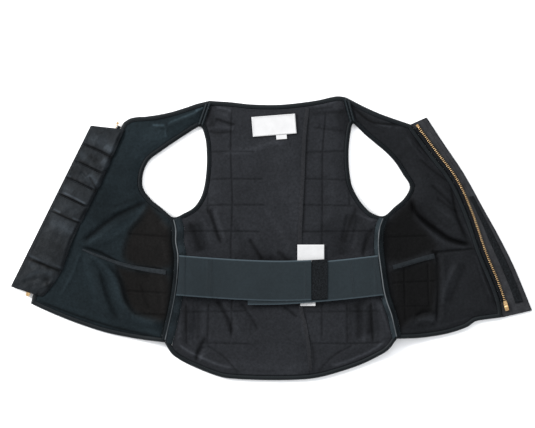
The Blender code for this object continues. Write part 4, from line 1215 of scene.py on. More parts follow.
def woven(name, colour, warm_shade, pitch=0.0011, depth=0.00016, roughness=0.9, sheen=0.0,
          specular=0.06, marked=True):
    """Lining cloth: fine weave, slubs and soft blotches, with painted shade (darker and browner) and
    painted highlights where marked.
    """
    m = Nodes(name, roughness, specular=specular, sheen=sheen)
    blotch = m.range(m.noise(16, 4), 0.3, 0.7, 0, 1)
    tone = m.mixed(blotch, scaled(colour, 0.84), scaled(colour, 1.16))
    fleck = m.range(m.noise(210, 4, 0.7), 0.3, 0.7, 0.72, 1.28)
    tone = m.mixed(1.0, tone, m.grey(fleck), "MULTIPLY")
    yarn = m.range(m.noise(1400, 2), 0.35, 0.65, 0.82, 1.18)
    tone = m.mixed(1.0, tone, m.grey(yarn), "MULTIPLY")
    # Painted shade: browner and darker where sunk, then the painted light and shade multiplied in
    if marked:
        tone = m.mixed(m.mark("warm_shade"), tone, m.mixed(1.0, warm_shade, m.grey(fleck), "MULTIPLY"))
        tone = m.mixed(1.0, tone, m.grey(m.mark("painted_light_and_shade")), "MULTIPLY")
    weave = m.sum(m.bands(pitch, "X"), m.bands(pitch * 1.1, "Y"), "MAXIMUM")
    slub = m.bump(m.noise(260, 3), depth * 3.2, m.bump(m.noise(55, 3), 0.0009))
    return m.done(tone, m.range(blotch, 0, 1, roughness - 0.05, roughness + 0.05),
                  m.bump(weave, depth, slub))


def leather(name, colour, roughness=0.42, grain=950.0, wrinkle=0.0006, specular=0.12,
            marked=False):
    """Pebbled leather with soft wrinkles and worn, glossier high places; where marked, painted
    highlights and painted shade.
    """
    m = Nodes(name, roughness, specular=specular)
    wide = m.noise(60, 5, 0.6)
    worn = m.range(wide, 0.35, 0.65, 0, 1)
    tone = m.mixed(worn, scaled(colour, 0.8), scaled(colour, 1.25))
    fleck = m.range(m.noise(330, 4, 0.7), 0.3, 0.7, 0.7, 1.3)
    tone = m.mixed(1.0, tone, m.grey(fleck), "MULTIPLY")
    # Painted highlights and painted shade where marked
    if marked:
        tone = m.mixed(1.0, tone, m.grey(m.mark("painted_light_and_shade")), "MULTIPLY")
    wrinkled = m.bump(m.noise(150, 4, 0.62), wrinkle)
    pebbled = m.bump(m.cells(grain), 0.00022, wrinkled)
    return m.done(tone, m.range(worn, 0, 1, roughness + 0.1, roughness - 0.06), pebbled)


def ribbed(name, colour, pitch=0.0016, roughness=0.78):
    """Woven elastic: cords along its length, crossed by a fine weft."""
    m = Nodes(name, roughness, specular=0.08)
    fade = m.range(m.noise(22, 3), 0.3, 0.7, 0, 1)
    tone = m.mixed(fade, scaled(colour, 0.9), scaled(colour, 1.1))
    fleck = m.range(m.noise(240, 3, 0.7), 0.3, 0.7, 0.86, 1.14)
    tone = m.mixed(1.0, tone, m.grey(fleck), "MULTIPLY")
    cords = m.bands(pitch, "Y")
    weft = m.bands(pitch * 0.55, "X")
    tone = m.mixed(m.range(cords, 0, 1, 0.0, 0.3), tone, scaled(colour, 0.55))
    tone = m.mixed(m.mark("rim"), tone, scaled(colour, 4.0))
    fine = m.bump(weft, 0.00008)
    return m.done(tone, m.range(fade, 0, 1, roughness - 0.04, roughness + 0.06),
                  m.bump(cords, 0.00022, fine))


def hooked(name, colour):
    """Hook and loop: rows of stiff pile."""
    m = Nodes(name, 0.9, specular=0.08)
    pile = m.cells(700)
    tone = m.mixed(m.range(m.noise(420, 3), 0.35, 0.7, 0, 1), scaled(colour, 0.45),
                   scaled(colour, 2.1))
    return m.done(tone, None, m.bump(pile, 0.0007, m.bump(m.noise(240, 3), 0.0005)))


def satin(name, colour):
    """White label cloth."""
    m = Nodes(name, 0.6, specular=0.2)
    tone = m.mixed(m.range(m.noise(70, 3), 0.35, 0.65, 0, 1), scaled(colour, 0.95), colour)
    weave = m.sum(m.bands(0.0006, "X"), m.bands(0.0009, "Y"), "MAXIMUM")
    return m.done(tone, None, m.bump(weave, 0.00004, m.bump(m.noise(45, 2), 0.0006)))


def brass(name):
    m = Nodes(name, 0.3, metallic=1.0)
    wear = m.range(m.noise(300, 4), 0.35, 0.65, 0, 1)
    tone = m.mixed(wear, (0.36, 0.22, 0.10), (0.66, 0.46, 0.24))
    return m.done(tone, m.range(wear, 0, 1, 0.42, 0.26), m.bump(m.noise(900, 2), 0.00003))


def taped(name, colour, pitch=0.0013, specular=0.10):
    """Smooth binding tape with a fine diagonal twill."""
    m = Nodes(name, 0.6, specular=specular)
    fade = m.range(m.noise(40, 4), 0.3, 0.7, 0, 1)
    tone = m.mixed(fade, scaled(colour, 0.82), scaled(colour, 1.2))
    twill = m.bands(pitch, "DIAGONAL")
    return m.done(tone, m.range(fade, 0, 1, 0.44, 0.6),
                  m.bump(twill, 0.00007, m.bump(m.noise(180, 3), 0.0003)))


def piped(name, dull, bright):
    """Piping with a painted highlight in stretches along its length, dull between them."""
    m = Nodes(name, 0.55, specular=0.2)
    painted_highlight = m.range(m.noise(14, 3), 0.42, 0.58, 0, 1)
    tone = m.mixed(painted_highlight, dull, bright)
    grain = m.noise(700, 2)
    return m.done(tone, m.range(grain, 0.3, 0.7, 0.45, 0.65), m.bump(grain, 0.0001))


# The second colour of each lining is the darker, browner colour of its painted shade where it sinks
CLOTH_BACK = woven("lining_back_cloth", (0.0124, 0.0132, 0.0152), (0.010, 0.009, 0.0085))
CLOTH_LEFT = woven("lining_left_cloth", (0.0062, 0.0094, 0.0112), (0.0066, 0.0062, 0.0060))
CLOTH_RIGHT = woven("lining_right_cloth", (0.0080, 0.0086, 0.0098), (0.0050, 0.0050, 0.0052))
STRIP_CLOTH = woven("strip_cloth", (0.0150, 0.0154, 0.0172), (0.01, 0.01, 0.01), marked=False)
SHELL = leather("shell_leather", (0.006, 0.0065, 0.007), specular=0.3)
GUARD_LEATHER = leather("guard_leather", (0.0062, 0.0076, 0.0090), 0.55, 900.0, 0.0008,
                        0.07, True)
PLACKET_LEATHER = leather("placket_leather", (0.0190, 0.0196, 0.0215), 0.6, 1100.0, 0.0004,
                          0.08)
EDGE_TAPE = taped("edge_tape", (0.0043, 0.0059, 0.0069))
ARM_TAPE = taped("armhole_tape", (0.0034, 0.0047, 0.0056), specular=0.06)
WELT_CLOTH = taped("welt_cloth", (0.0085, 0.0115, 0.0135))
GUSSET_CLOTH = woven("gusset_cloth", (0.0135, 0.0185, 0.0215), (0.01, 0.01, 0.01))
BAND_CLOTH = woven("band_cloth", (0.0125, 0.0150, 0.0170), (0.02, 0.02, 0.02), marked=False)
# Piping: dull colour, and the painted highlight of its bright stretches
PIPE_CLOTH = piped("piping_cloth", (0.016, 0.020, 0.023), (0.075, 0.082, 0.087))
BELT_ELASTIC = ribbed("belt_elastic", (0.0135, 0.0185, 0.0215))
HOOK_PILE = hooked("hook_pile", (0.0048, 0.0056, 0.0064))
LABEL_CLOTH = satin("label_cloth", (0.455, 0.452, 0.452))
TAPE_CLOTH = woven("zip_tape_cloth", (0.0052, 0.0058, 0.0068), (0.01, 0.01, 0.01), marked=False)
BRASS = brass("zip_brass")
THREAD = taped("thread", (0.018, 0.020, 0.023), 0.0004)
PALE_THREAD = taped("pale_thread", (0.30, 0.30, 0.30), 0.0004)


# Panels

PANEL_STEPS = 14
UNDER_STEP = 7
FOLD_GAIN = 1.5
# Painted shade of the sunk regions (its soft edge and how much it darkens) and of the quilt grooves
REGION_FADE = 11.0
SUNK_PAINTED_SHADE = 0.3
QUILT_PAINTED_SHADE = 0.38
RIPPLE_HEIGHT = 0.00035
RIPPLE_WAVE = 0.034
LEAST_THICKNESS = 0.004


def chain_shares(chain):
    steps = np.linalg.norm(chain[1:] - chain[:-1], axis=1)
    run = np.concatenate([[0], np.cumsum(steps)])
    return run / run[-1]


def filled(top, right, bottom, left):
    """The grid of the part's panels, on finer sides."""
    across_top = chain_shares(top)
    across_bottom = chain_shares(bottom)
    step = np.linspace(0, 1, len(left))[:, None]
    u = across_top[None] + (across_bottom - across_top)[None] * step
    v = chain_shares(left)[:, None] + (chain_shares(right) - chain_shares(left))[:, None] * u
    bow_top = top - (top[0] + (top[-1] - top[0]) * across_top[:, None])
    bow_bottom = bottom - (bottom[0] + (bottom[-1] - bottom[0]) * across_bottom[:, None])
    bow = bow_top[None] * ((1 - v) ** TOP_BOW_FADE)[..., None]
    bow = bow + bow_bottom[None] * (v ** HEM_BOW_FADE)[..., None]
    return left[:, None] * (1 - u)[..., None] + right[:, None] * u[..., None] + bow


def make_panel(node, sides, counts, cloth):
    """Padded panel with its squares, folds and sunk or raised regions, and painted light and shade
    on its cloth.
    """
    key = node.removesuffix("_panel")
    ring = panel_outline(sides)
    ring.append(ring[0])
    corners = [0]
    for count in counts:
        corners.append(corners[-1] + count)
    top, right, bottom, left = [
        flat_array(spline(ring[a:b + 1], PANEL_STEPS)) for a, b in zip(corners, corners[1:])]
    grid = filled(top, right, bottom[::-1], left[::-1])
    rows, columns = grid.shape[:2]
    places = grid.reshape(-1, 2)
    share = np.minimum(chain_distance(places, ring)[0] / PAD_ROLL, 1)
    eased = share * (2 - share)
    sewn = np.zeros(len(places))
    for path in QUILT[key]:
        sewn = np.maximum(sewn, stroke(places, path, QUILT_WIDTH, QUILT_WIDTH, 0.05))
    relief = -QUILT_DEPTH * sewn + RIPPLE_HEIGHT * ripples(places, RIPPLE_WAVE)
    for path, left_width, right_width, height in FOLDS[key]:
        relief += 0.001 * FOLD_GAIN * height * stroke(places, path, left_width, right_width)
    # Painted shade along the quilt grooves, in the sunk regions and along the strokes, and painted
    # highlight where a stroke's strength is negative
    painted_light_and_shade = 1 - QUILT_PAINTED_SHADE * sewn
    warm_shade = np.zeros(len(places))
    for path, soft, height in REGIONS[key]:
        relief += 0.001 * height * region(places, path, soft)
        if height < 0:
            # Painted shade, darker and browner, where the lining sinks
            within = region(places, path, REGION_FADE)
            painted_light_and_shade *= 1 - SUNK_PAINTED_SHADE * within
            warm_shade = np.maximum(warm_shade, within)
    for path, width, strength in PAINTED_LIGHT_AND_SHADE[key]:
        painted_light_and_shade *= 1 - strength * stroke(places, path, width, width)
    base = lift_field(places)
    height = EDGE_THICKNESS + (PAD_THICKNESS - EDGE_THICKNESS) * eased + eased * relief
    height = np.maximum(height, LEAST_THICKNESS)
    upper = np.column_stack([places, base + height]).reshape(rows, columns, 3)
    lower = np.column_stack([places, base]).reshape(rows, columns, 3)
    piece = slab_piece(f"{key}_padding", upper, lower[::UNDER_STEP, ::UNDER_STEP],
                       [cloth, SHELL], UNDER_STEP)
    tint(piece, "painted_light_and_shade", painted_light_and_shade)
    full = np.zeros(len(piece.data.vertices), np.float32)
    full[:len(warm_shade)] = warm_shade
    layer = piece.data.attributes.new("warm_shade", "FLOAT", "POINT")
    layer.data.foreach_set("value", full)
    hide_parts(node)
    return piece


def make_panels():
    edge = BINDING_WIDTH + GAP
    welt = SHOULDER_SEAM_WIDTH / 2 + 2 * GAP
    left_shoulder, left_seam = side_cells("left")
    right_shoulder, right_seam = side_cells("right")
    tents = {side: [width + GAP for width in SEAM_TENTS[side]] for side in SEAM_TENTS}
    back = make_panel(
        "back_panel",
        [
            (RUNS["left_shoulder"], edge),
            (right_shoulder, welt),
            (ARCS["right"]["back"], edge),
            (right_seam, tents["right"][0]),
            (RUNS["right_side"], edge),
            (left_seam[::-1], tents["left"][0]),
            (ARCS["left"]["back"][::-1], edge),
            (left_shoulder[::-1], welt),
        ],
        (BACK_CELLS, EDGE_CELLS, BACK_CELLS, EDGE_CELLS), CLOTH_BACK)
    left = make_panel(
        "left_front_panel",
        [
            (RUNS["left_neck"], edge),
            (left_shoulder, welt),
            (ARCS["left"]["front"], edge),
            (left_seam, tents["left"][1]),
            (RUNS["left_side"], edge),
            (RUNS["left_corner"], edge),
        ],
        (FRONT_CELLS, EDGE_CELLS, FRONT_CELLS, EDGE_CELLS), CLOTH_LEFT)
    right = make_panel(
        "right_front_panel",
        [
            (RUNS["right_shoulder"], edge),
            (RUNS["right_neck"], edge),
            (RUNS["right_corner"], edge),
            (right_seam[::-1], tents["right"][1]),
            (ARCS["right"]["front"][::-1], edge),
            (right_shoulder[::-1], welt),
        ],
        (FRONT_CELLS, EDGE_CELLS, FRONT_CELLS, EDGE_CELLS), CLOTH_RIGHT)
    return back, left, right


# Stitching

STITCHES = {"dark": [], "pale": []}
STITCH_PITCH = 0.0036
STITCH_LENGTH = 0.0026
STITCH_RADIUS = 0.00034


def stitch_along(points, colour="dark", pitch=STITCH_PITCH, length=STITCH_LENGTH):
    """Row of stitches on a path in space."""
    points = np.array(points, float)
    steps = np.linalg.norm(points[1:] - points[:-1], axis=1)
    run = np.concatenate([[0], np.cumsum(steps)])
    for middle in np.arange(pitch / 2, run[-1] - pitch / 4, pitch):
        ends = [np.array([np.interp(middle + shift, run, points[:, axis]) for axis in range(3)])
                for shift in (-length / 2, length / 2)]
        STITCHES[colour].append(ends)


def make_stitches(name, colour, finish):
    points = []
    faces = []
    for start, end in STITCHES[colour]:
        along = (end - start) / max(np.linalg.norm(end - start), 1e-9)
        side = np.cross(along, (0, 0, 1))
        side /= max(np.linalg.norm(side), 1e-9)
        up = np.cross(side, along)
        first = len(points)
        points.append(start)
        for share in (0.25, 0.75):
            middle = start + (end - start) * share
            for corner in range(6):
                angle = math.radians(60 * corner)
                turn = side * math.cos(angle) + up * math.sin(angle) * 0.8
                points.append(middle + turn * STITCH_RADIUS)
        points.append(end)
        last = len(points) - 1
        for corner in range(6):
            after = (corner + 1) % 6
            faces.append((first, first + 1 + after, first + 1 + corner))
            faces.append((first + 1 + corner, first + 1 + after,
                          first + 7 + after, first + 7 + corner))
            faces.append((first + 7 + corner, first + 7 + after, last))
    piece = mesh_piece(name, points, faces, [finish])
    face_out(piece)
    return piece


# Bindings

BINDING_PROFILE = (
    # (share of width from the outer edge in, share of height)
    (0.12, 0.0),
    (0.03, 0.16),
    (0.0, 0.42),
    (0.05, 0.68),
    (0.18, 0.90),
    (0.38, 1.0),
    (0.62, 1.0),
    (0.80, 0.94),
    (0.88, 0.86),
    (0.97, 0.84),
    (1.03, 0.62),
    (1.10, 0.45),
    (1.10, 0.0),
)
BINDING_STITCH = 0.80
BINDING_STEPS = 6


def binding_stations(ring, spans, side, steps=BINDING_STEPS):
    """Fine rings of a binding's profile along spans of a ring of points."""
    lines = []
    for across, up in BINDING_PROFILE:
        moved = inset_ring(ring, [side * across * BINDING_WIDTH] * len(ring))
        run = []
        for span in spans:
            part = spline([moved[place % len(moved)] for place in span], steps)
            run += part if not run else part[1:]
        run = flat_array(run)
        heights = lift_field(run) + up * BINDING_HEIGHT
        lines.append(np.column_stack([run, heights]))
    return np.stack(lines, axis=1)


def binding_piece(name, stations, closed=False, finish=None):
    if not closed:
        for end, step in ((0, 1), (-1, -1)):
            along = stations[end + step] - stations[end]
            along /= np.linalg.norm(along, axis=1)[:, None]
            stations[end] += along * GAP / 2
    piece = loft_piece(f"{name}_tape", stations, [finish or EDGE_TAPE], closed)
    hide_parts(name)
    seam = stations[:, 7] * 0.6 + stations[:, 8] * 0.4
    seam[:, 2] += STITCH_RADIUS * 0.4
    stitch_along(seam if not closed else np.concatenate([seam, seam[:1]]))
    return piece


def make_bindings():
    starts = {}
    index = 0
    for mark, run in RUNS.items():
        starts[mark] = index
        index += len(run) - 1
    marks = list(RUNS)
    spans = {
        "back_neck_binding": ("left_shoulder", 1),
        "right_front_binding": ("right_shoulder", 3),
        "back_hem_binding": ("right_side", 1),
        "left_front_binding": ("left_side", 3),
    }
    for name, (first, count) in spans.items():
        at = marks.index(first)
        parts = []
        for step in range(count):
            mark = marks[(at + step) % len(marks)]
            parts.append([starts[mark] + k for k in range(len(RUNS[mark]))])
        binding_piece(name, binding_stations(OUTER_RING, parts, 1))
    for side, ring in ARM_RINGS.items():
        count = len(ring)
        stations = binding_stations(ring, [list(range(count + 1))], -1)
        binding_piece(f"{side}_armhole_binding", stations[:-1], True, ARM_TAPE)


# Seams

TENT_PROFILE = (
    # (share of the way from one foot to the crest to the other, share of the height)
    (-1.0, 0.0),
    (-0.72, 0.40),
    (-0.42, 0.78),
    (-0.18, 0.96),
    (0.0, 1.0),
    (0.18, 0.96),
    (0.42, 0.78),
    (0.72, 0.40),
    (1.0, 0.0),
)


PIPING_ROUND = 0.0011
SEAM_STATIONS = 240
SEAM_TUCK = 0.5


def seam_lines(chain, reaches, side, count):
    """Lines beside a seam, one for each reach, each as long as the bindings leave clear."""
    fine = sampled(spline(chain, 6), even_shares(SEAM_STATIONS))
    room = BINDING_WIDTH * SEAM_TUCK
    edge = flat_array(inset_ring(OUTER_RING, [room] * len(OUTER_RING)))
    hole = flat_array(inset_ring(ARM_RINGS[side], [-room] * len(ARM_RINGS[side])))
    lines = []
    for reach in reaches:
        line = flat_array(offset_chain(fine, reach))
        clear = np.flatnonzero(enclosed(line, edge) & ~enclosed(line, hole))
        part = line[clear[0]:clear[-1] + 1]
        lines.append(flat_array(sampled([Vector(p) for p in part], even_shares(count))))
    return lines


# Painted shade on the two faces of a gusset: the share of its colour on the east face and on the
# west face
GUSSET_PAINTED_SHADE = {"left": (1.0, 0.3), "right": (0.42, 1.0)}


def make_side_seam(side):
    """Cloth gusset that stands up between back and front, and the piping on its crest."""
    back, front = SEAM_TENTS[side]
    west, east = (front, back) if side == "left" else (back, front)
    cells = side_cells(side)[1]
    reaches = [across * (west if across > 0 else east) for across, _ in TENT_PROFILE]
    lines = seam_lines(cells, reaches, side, 90)
    middle = lines[len(lines) // 2]
    crest = lift_field(middle) + SEAM_CREST
    upper = []
    for line, (across, up) in zip(lines, TENT_PROFILE):
        foot = lines[0] if across < 0 else lines[-1]
        low = lift_field(foot) + EDGE_THICKNESS
        wave = 0.0006 * np.sin(np.arange(len(line)) * 0.7 + across * 3) * (1 - abs(across))
        upper.append(np.column_stack([line, low + (crest - low) * up + wave]))
    upper = np.stack(upper, axis=1)
    lower = upper - np.array((0, 0, SEAM_WALL))
    piece = slab_piece(f"{side}_gusset", upper, lower, [GUSSET_CLOTH])
    face_out(piece)
    # Painted shade on one face of the gusset, with streaks along it
    east_painted_shade, west_painted_shade = GUSSET_PAINTED_SHADE[side]
    painted_shades = [east_painted_shade if across < 0 else west_painted_shade for across, _ in TENT_PROFILE]
    streak = 1 + 0.25 * np.sin(np.arange(len(middle)) * 0.33) * np.sin(np.arange(len(middle)) * 0.11)
    tint(piece, "painted_light_and_shade", (streak[:, None] * np.array(painted_shades)[None]).ravel())
    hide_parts(f"{side}_side_seam")
    length = float(np.linalg.norm(middle[1:] - middle[:-1], axis=1).sum())
    across_length(upper)
    for column in (1, 7):
        seam = upper[:, column].copy()
        seam[:, 2] += STITCH_RADIUS * 0.4
        stitch_along(seam)
    axis = lines[-1] - lines[0]
    axis /= np.linalg.norm(axis, axis=1)[:, None]
    stations = []
    for corner in range(10):
        angle = math.radians(36 * corner + 18)
        place = middle + axis * PIPING_ROUND * math.cos(angle)
        stations.append(np.column_stack([
            place, crest + GAP + PIPING_ROUND * (1 + math.sin(angle))]))
    pipe = loft_piece(f"{side}_piping_cord", np.stack(stations, axis=1), [PIPE_CLOTH])
    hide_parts(f"{side}_side_piping")


def across_length(grid):
    """Mean length of a grid's rows."""
    return float(np.linalg.norm(grid[:, 1:] - grid[:, :-1], axis=2).sum(axis=1).mean())


WELT_SIDES = 17


def make_shoulder_seam(side):
    """Welt with two rolled ridges and a sewn valley between them."""
    half = SHOULDER_SEAM_WIDTH / 2 + GAP
    shares = np.linspace(-1, 1, WELT_SIDES)
    lines = seam_lines(SHOULDER_LINES[side], shares * half, side, 30)
    stations = []
    for line, across in zip(lines, shares):
        rolled = abs(math.sin(math.pi * across)) ** 0.6
        up = 0.62 + 0.38 * rolled
        wave = 0.0003 * np.sin(np.arange(len(line)) * 1.3 + across * 2)
        stations.append(np.column_stack([line, lift_field(line) + up * SHOULDER_WELT_HEIGHT + wave]))
    for line in (lines[-1], lines[0]):
        stations.append(np.column_stack([line, lift_field(line)]))
    piece = loft_piece(f"{side}_shoulder_welt", np.stack(stations, axis=1), [WELT_CLOTH])
    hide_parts(f"{side}_shoulder_seam")
    valley = stations[WELT_SIDES // 2].copy()
    valley[:, 2] += STITCH_RADIUS
    stitch_along(valley)


# Strips and labels on the lining

def draped_ribbon(name, rows, width, thickness, tree, cloth, node, cells=120, start=1.0,
                  longer=0.0):
    """Sewn strip that follows the lining beneath it, from a share of its width to all of it."""
    path = [spot(across, down) for across, down in rows]
    path[0] += (path[0] - path[1]).normalized() * longer
    path[-1] += (path[-1] - path[-2]).normalized() * longer
    line = sampled(spline(path), even_shares(cells))
    full = flat_array(line)
    profile = ((-0.5, 0.35), (-0.44, 0.85), (-0.3, 1.0), (0.0, 0.92), (0.3, 1.0), (0.44, 0.85),
               (0.5, 0.35))
    grown = (start + (1 - start) * np.linspace(0, 1, len(full)) ** 0.7)[:, None]
    runs = [full + (flat_array(offset_chain(line, share * width)) - full) * grown
            for share, _ in profile]
    under = np.array([[top_of(tree, *place) for place in run] for run in runs])
    kernel = np.ones(5) / 5
    under = np.array([np.convolve(np.pad(row, 2, mode="edge"), kernel, "valid") for row in under])
    upper = np.stack([
        np.column_stack([run, height + thickness * up])
        for run, height, (_, up) in zip(runs, under, profile)], axis=1)
    lower = np.stack([np.column_stack([run, height - 0.0004])
                      for run, height in zip(runs, under)], axis=1)
    piece = slab_piece(name, upper, lower, [cloth])
    face_out(piece)
    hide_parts(node)
    for column in (1, 5):
        seam = upper[:, column].copy()
        seam[:, 2] += STITCH_RADIUS * 0.5
        stitch_along(seam)
    return piece


def make_label(name, node, middle, width, height, tilt, tree, curl, hem=True):
    """Bare cloth label with a folded border and a slight curl."""
    columns, rows = 41, 25
    along = np.array((math.cos(tilt), math.sin(tilt)))
    up = np.array((-math.sin(tilt), math.cos(tilt)))
    u, v = np.meshgrid(np.linspace(-0.5, 0.5, columns), np.linspace(0.5, -0.5, rows))
    places = np.array(middle) + u[..., None] * width * along + v[..., None] * height * up
    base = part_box(node)[0].z
    flat = places.reshape(-1, 2)
    under = np.array([top_of(tree, *place) for place in flat]).reshape(rows, columns)
    bend = curl * (0.35 * (2 * u) ** 2 + 0.65 * (2 * v) ** 4 * (0.5 + u))
    low = np.maximum(base, under + GAP) + np.abs(bend)
    kernel = np.ones((5, 5)) / 25
    padded = np.pad(low, 2, mode="edge")
    low = np.maximum(low, sum(kernel[i, j] * padded[i:i + rows, j:j + columns]
                              for i in range(5) for j in range(5)))
    thickness = np.full_like(low, LABEL_THICKNESS * 0.6)
    if hem:
        border = np.minimum((0.5 - np.abs(u)) * width, (0.5 - np.abs(v)) * height)
        thickness = thickness + LABEL_THICKNESS * 0.4 * (1 - smooth(border, 0.0022, 0.003))
    upper = np.concatenate([places, (low + thickness)[..., None]], axis=2)
    lower = np.concatenate([places, low[..., None]], axis=2)
    piece = slab_piece(name, upper, lower, [LABEL_CLOTH])
    face_out(piece)
    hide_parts(node)
    if hem:
        inset = 0.0014
        corners = []
        for a, b in ((-1, 1), (1, 1), (1, -1), (-1, -1), (-1, 1)):
            corners.append(np.array(middle) + a * (width / 2 - inset) * along
                           + b * (height / 2 - inset) * up)
        top = surface_tree(piece)
        for a, b in zip(corners, corners[1:]):
            run = [a + (b - a) * share for share in np.linspace(0, 1, 24)]
            stitch_along([(p[0], p[1], top_of(top, *p, base) + 0.0001) for p in run], "pale",
                         0.003, 0.002)
    return piece


def make_labels(tree):
    middle = spot(*NECK_LABEL_PLACE)
    tilt = NECK_LABEL_TILT
    label = make_label("neck_label_cloth", "neck_label", middle, NECK_LABEL_WIDTH,
                       NECK_LABEL_HEIGHT, tilt, tree, 0.0009)
    along = Vector((math.cos(tilt), math.sin(tilt)))
    down = Vector((math.sin(tilt), -math.cos(tilt)))
    below = (NECK_LABEL_HEIGHT + SIZE_TAB_HEIGHT) / 2 + GAP
    place = middle + along * NECK_LABEL_WIDTH * SIZE_TAB_SHARE + down * below
    tab = make_label("size_tab_cloth", "size_tab", place, SIZE_TAB_WIDTH, SIZE_TAB_HEIGHT, tilt,
                     tree, 0.0004, hem=False)
    top = spot(*CARE_LABEL_PLACE)
    place = top + Vector((0, -CARE_LABEL_LENGTH / 2))
    care = make_label("care_label_cloth", "care_label", place, CARE_LABEL_WIDTH,
                      CARE_LABEL_LENGTH, 0, tree, 0.0008, hem=False)
    shift = (CARE_TAIL_WIDTH - CARE_LABEL_WIDTH) / 4
    place = top + Vector((shift, -CARE_LABEL_LENGTH - GAP - CARE_TAIL_LENGTH / 2))
    tail = make_label("care_tail_cloth", "care_label_tail", place, CARE_TAIL_WIDTH,
                      CARE_TAIL_LENGTH, 0, tree, 0.0006, hem=False)


# Belt

BELT_COLUMNS = 161
BELT_EDGE = 0.0016
BELT_WAVE = 0.0007
BELT_DOUBLED = {
    # piece: ((pixel across from, to, extra thickness in millimetres), ...)
    "left": ((176, 185.5, 0.9), (207, 212.5, 0.5), (304.5, 312, 0.7)),
    "right": ((374, 386, 0.9), (350, 354, 0.3)),
}


def make_belt_piece(name, node, from_x, to_x, layer, drop, finish, thickness, key=None):
    shares = np.linspace(0.5, -0.5, 25)
    clearance = PIPING_RADIUS + 2 * GAP
    rest = layer * (BELT_THICKNESS + GAP)
    upper = []
    lower = []
    for edge in shares:
        seam_y = spot(0, BELT_SEAM_DOWN).y + edge * BELT_WIDTH
        start = seam_x("left", seam_y, clearance) if from_x is None else from_x
        end = seam_x("right", seam_y, clearance) if to_x is None else to_x
        top = []
        bottom = []
        for share in np.linspace(0, 1, BELT_COLUMNS if key else 41):
            x = start + (end - start) * share
            slip = drop * (1 - share)
            y = belt_middle(x) + edge * BELT_WIDTH - slip
            height = belt_height(x) + rest
            wave = BELT_WAVE * math.sin(x * 41 + edge * 1.5) * math.sin(x * 17 + 1)
            wave += BELT_WAVE * 0.5 * math.sin(x * 90 + edge * 4)
            rim = min(0.5 - abs(edge), 0.04) / 0.04
            thick = thickness * (0.72 + 0.28 * rim)
            for low, high, extra in BELT_DOUBLED.get(key, ()):
                low = seen(low, 0).x
                high = seen(high, 0).x
                soft = 0.0012
                thick += 0.001 * extra * float(smooth(x, low - soft, low + soft)
                                               * smooth(-x, -high - soft, -high + soft))
            top.append((x, y, height + wave + thick))
            bottom.append((x, y, height + wave))
        upper.append(top)
        lower.append(bottom)
    upper = np.array(upper)
    lower = np.array(lower)
    piece = slab_piece(name, upper, lower, [finish])
    face_out(piece)
    rims = np.where(np.abs(shares) > 0.475, 1.0, 0.0)
    tint(piece, "rim", np.repeat(rims, upper.shape[1]))
    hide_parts(node)
    length = float(np.linalg.norm(upper[:, 1:, :2] - upper[:, :-1, :2], axis=2).sum(axis=1).mean())
    if key:
        for low, high, _ in BELT_DOUBLED[key]:
            for edge_x in (low + 1, high - 1):
                x = seen(edge_x, 0).x
                across = np.argmin(np.abs(upper[12, :, 0] - x))
                if 2 < across < upper.shape[1] - 3:
                    seam = upper[1:-1, across].copy()
                    seam[:, 2] += STITCH_RADIUS * 0.4
                    stitch_along(seam)
    return piece


def make_belt():
    end = spot(BELT_LEFT_END, 0).x
    tail = spot(BELT_RIGHT_TAIL, 0).x
    patch_end = end + GAP + HOOK_PATCH_LENGTH
    make_belt_piece("belt_left_elastic", "belt_left", None, end, 1, 0, BELT_ELASTIC,
                    BELT_THICKNESS, "left")
    make_belt_piece("belt_right_elastic", "belt_right", tail, None, 0, BELT_TAIL_DROP,
                    BELT_ELASTIC, BELT_THICKNESS, "right")
    make_belt_piece("belt_hook_pile", "belt_hook_patch", end + GAP, patch_end, 1, 0, HOOK_PILE,
                    HOOK_PATCH_THICKNESS)


# Zip

TOOTH_PITCH = 0.0038

def zip_run(side, reach, start, end, cells):
    return flat_array(zip_line(side, reach, start, end, cells))


def make_tape(side):
    start, end = ZIP_SPANS[side]
    runs = [zip_run(side, reach, start, end, 120)
            for reach in np.linspace(GAP, TAPE_WIDTH, 7)]
    ups = (0.5, 0.9, 0.8, 0.8, 0.8, 0.9, 1.0)
    upper = np.stack([np.column_stack([run, np.full(len(run), TAPE_HEIGHT + TAPE_THICKNESS * up)])
                      for run, up in zip(runs, ups)], axis=1)
    lower = np.stack([np.column_stack([run, np.full(len(run), TAPE_HEIGHT)])
                      for run in runs], axis=1)
    piece = slab_piece(f"{side}_tape_cloth", upper, lower, [TAPE_CLOTH])
    face_out(piece)
    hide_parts(f"{side}_zip_tape")


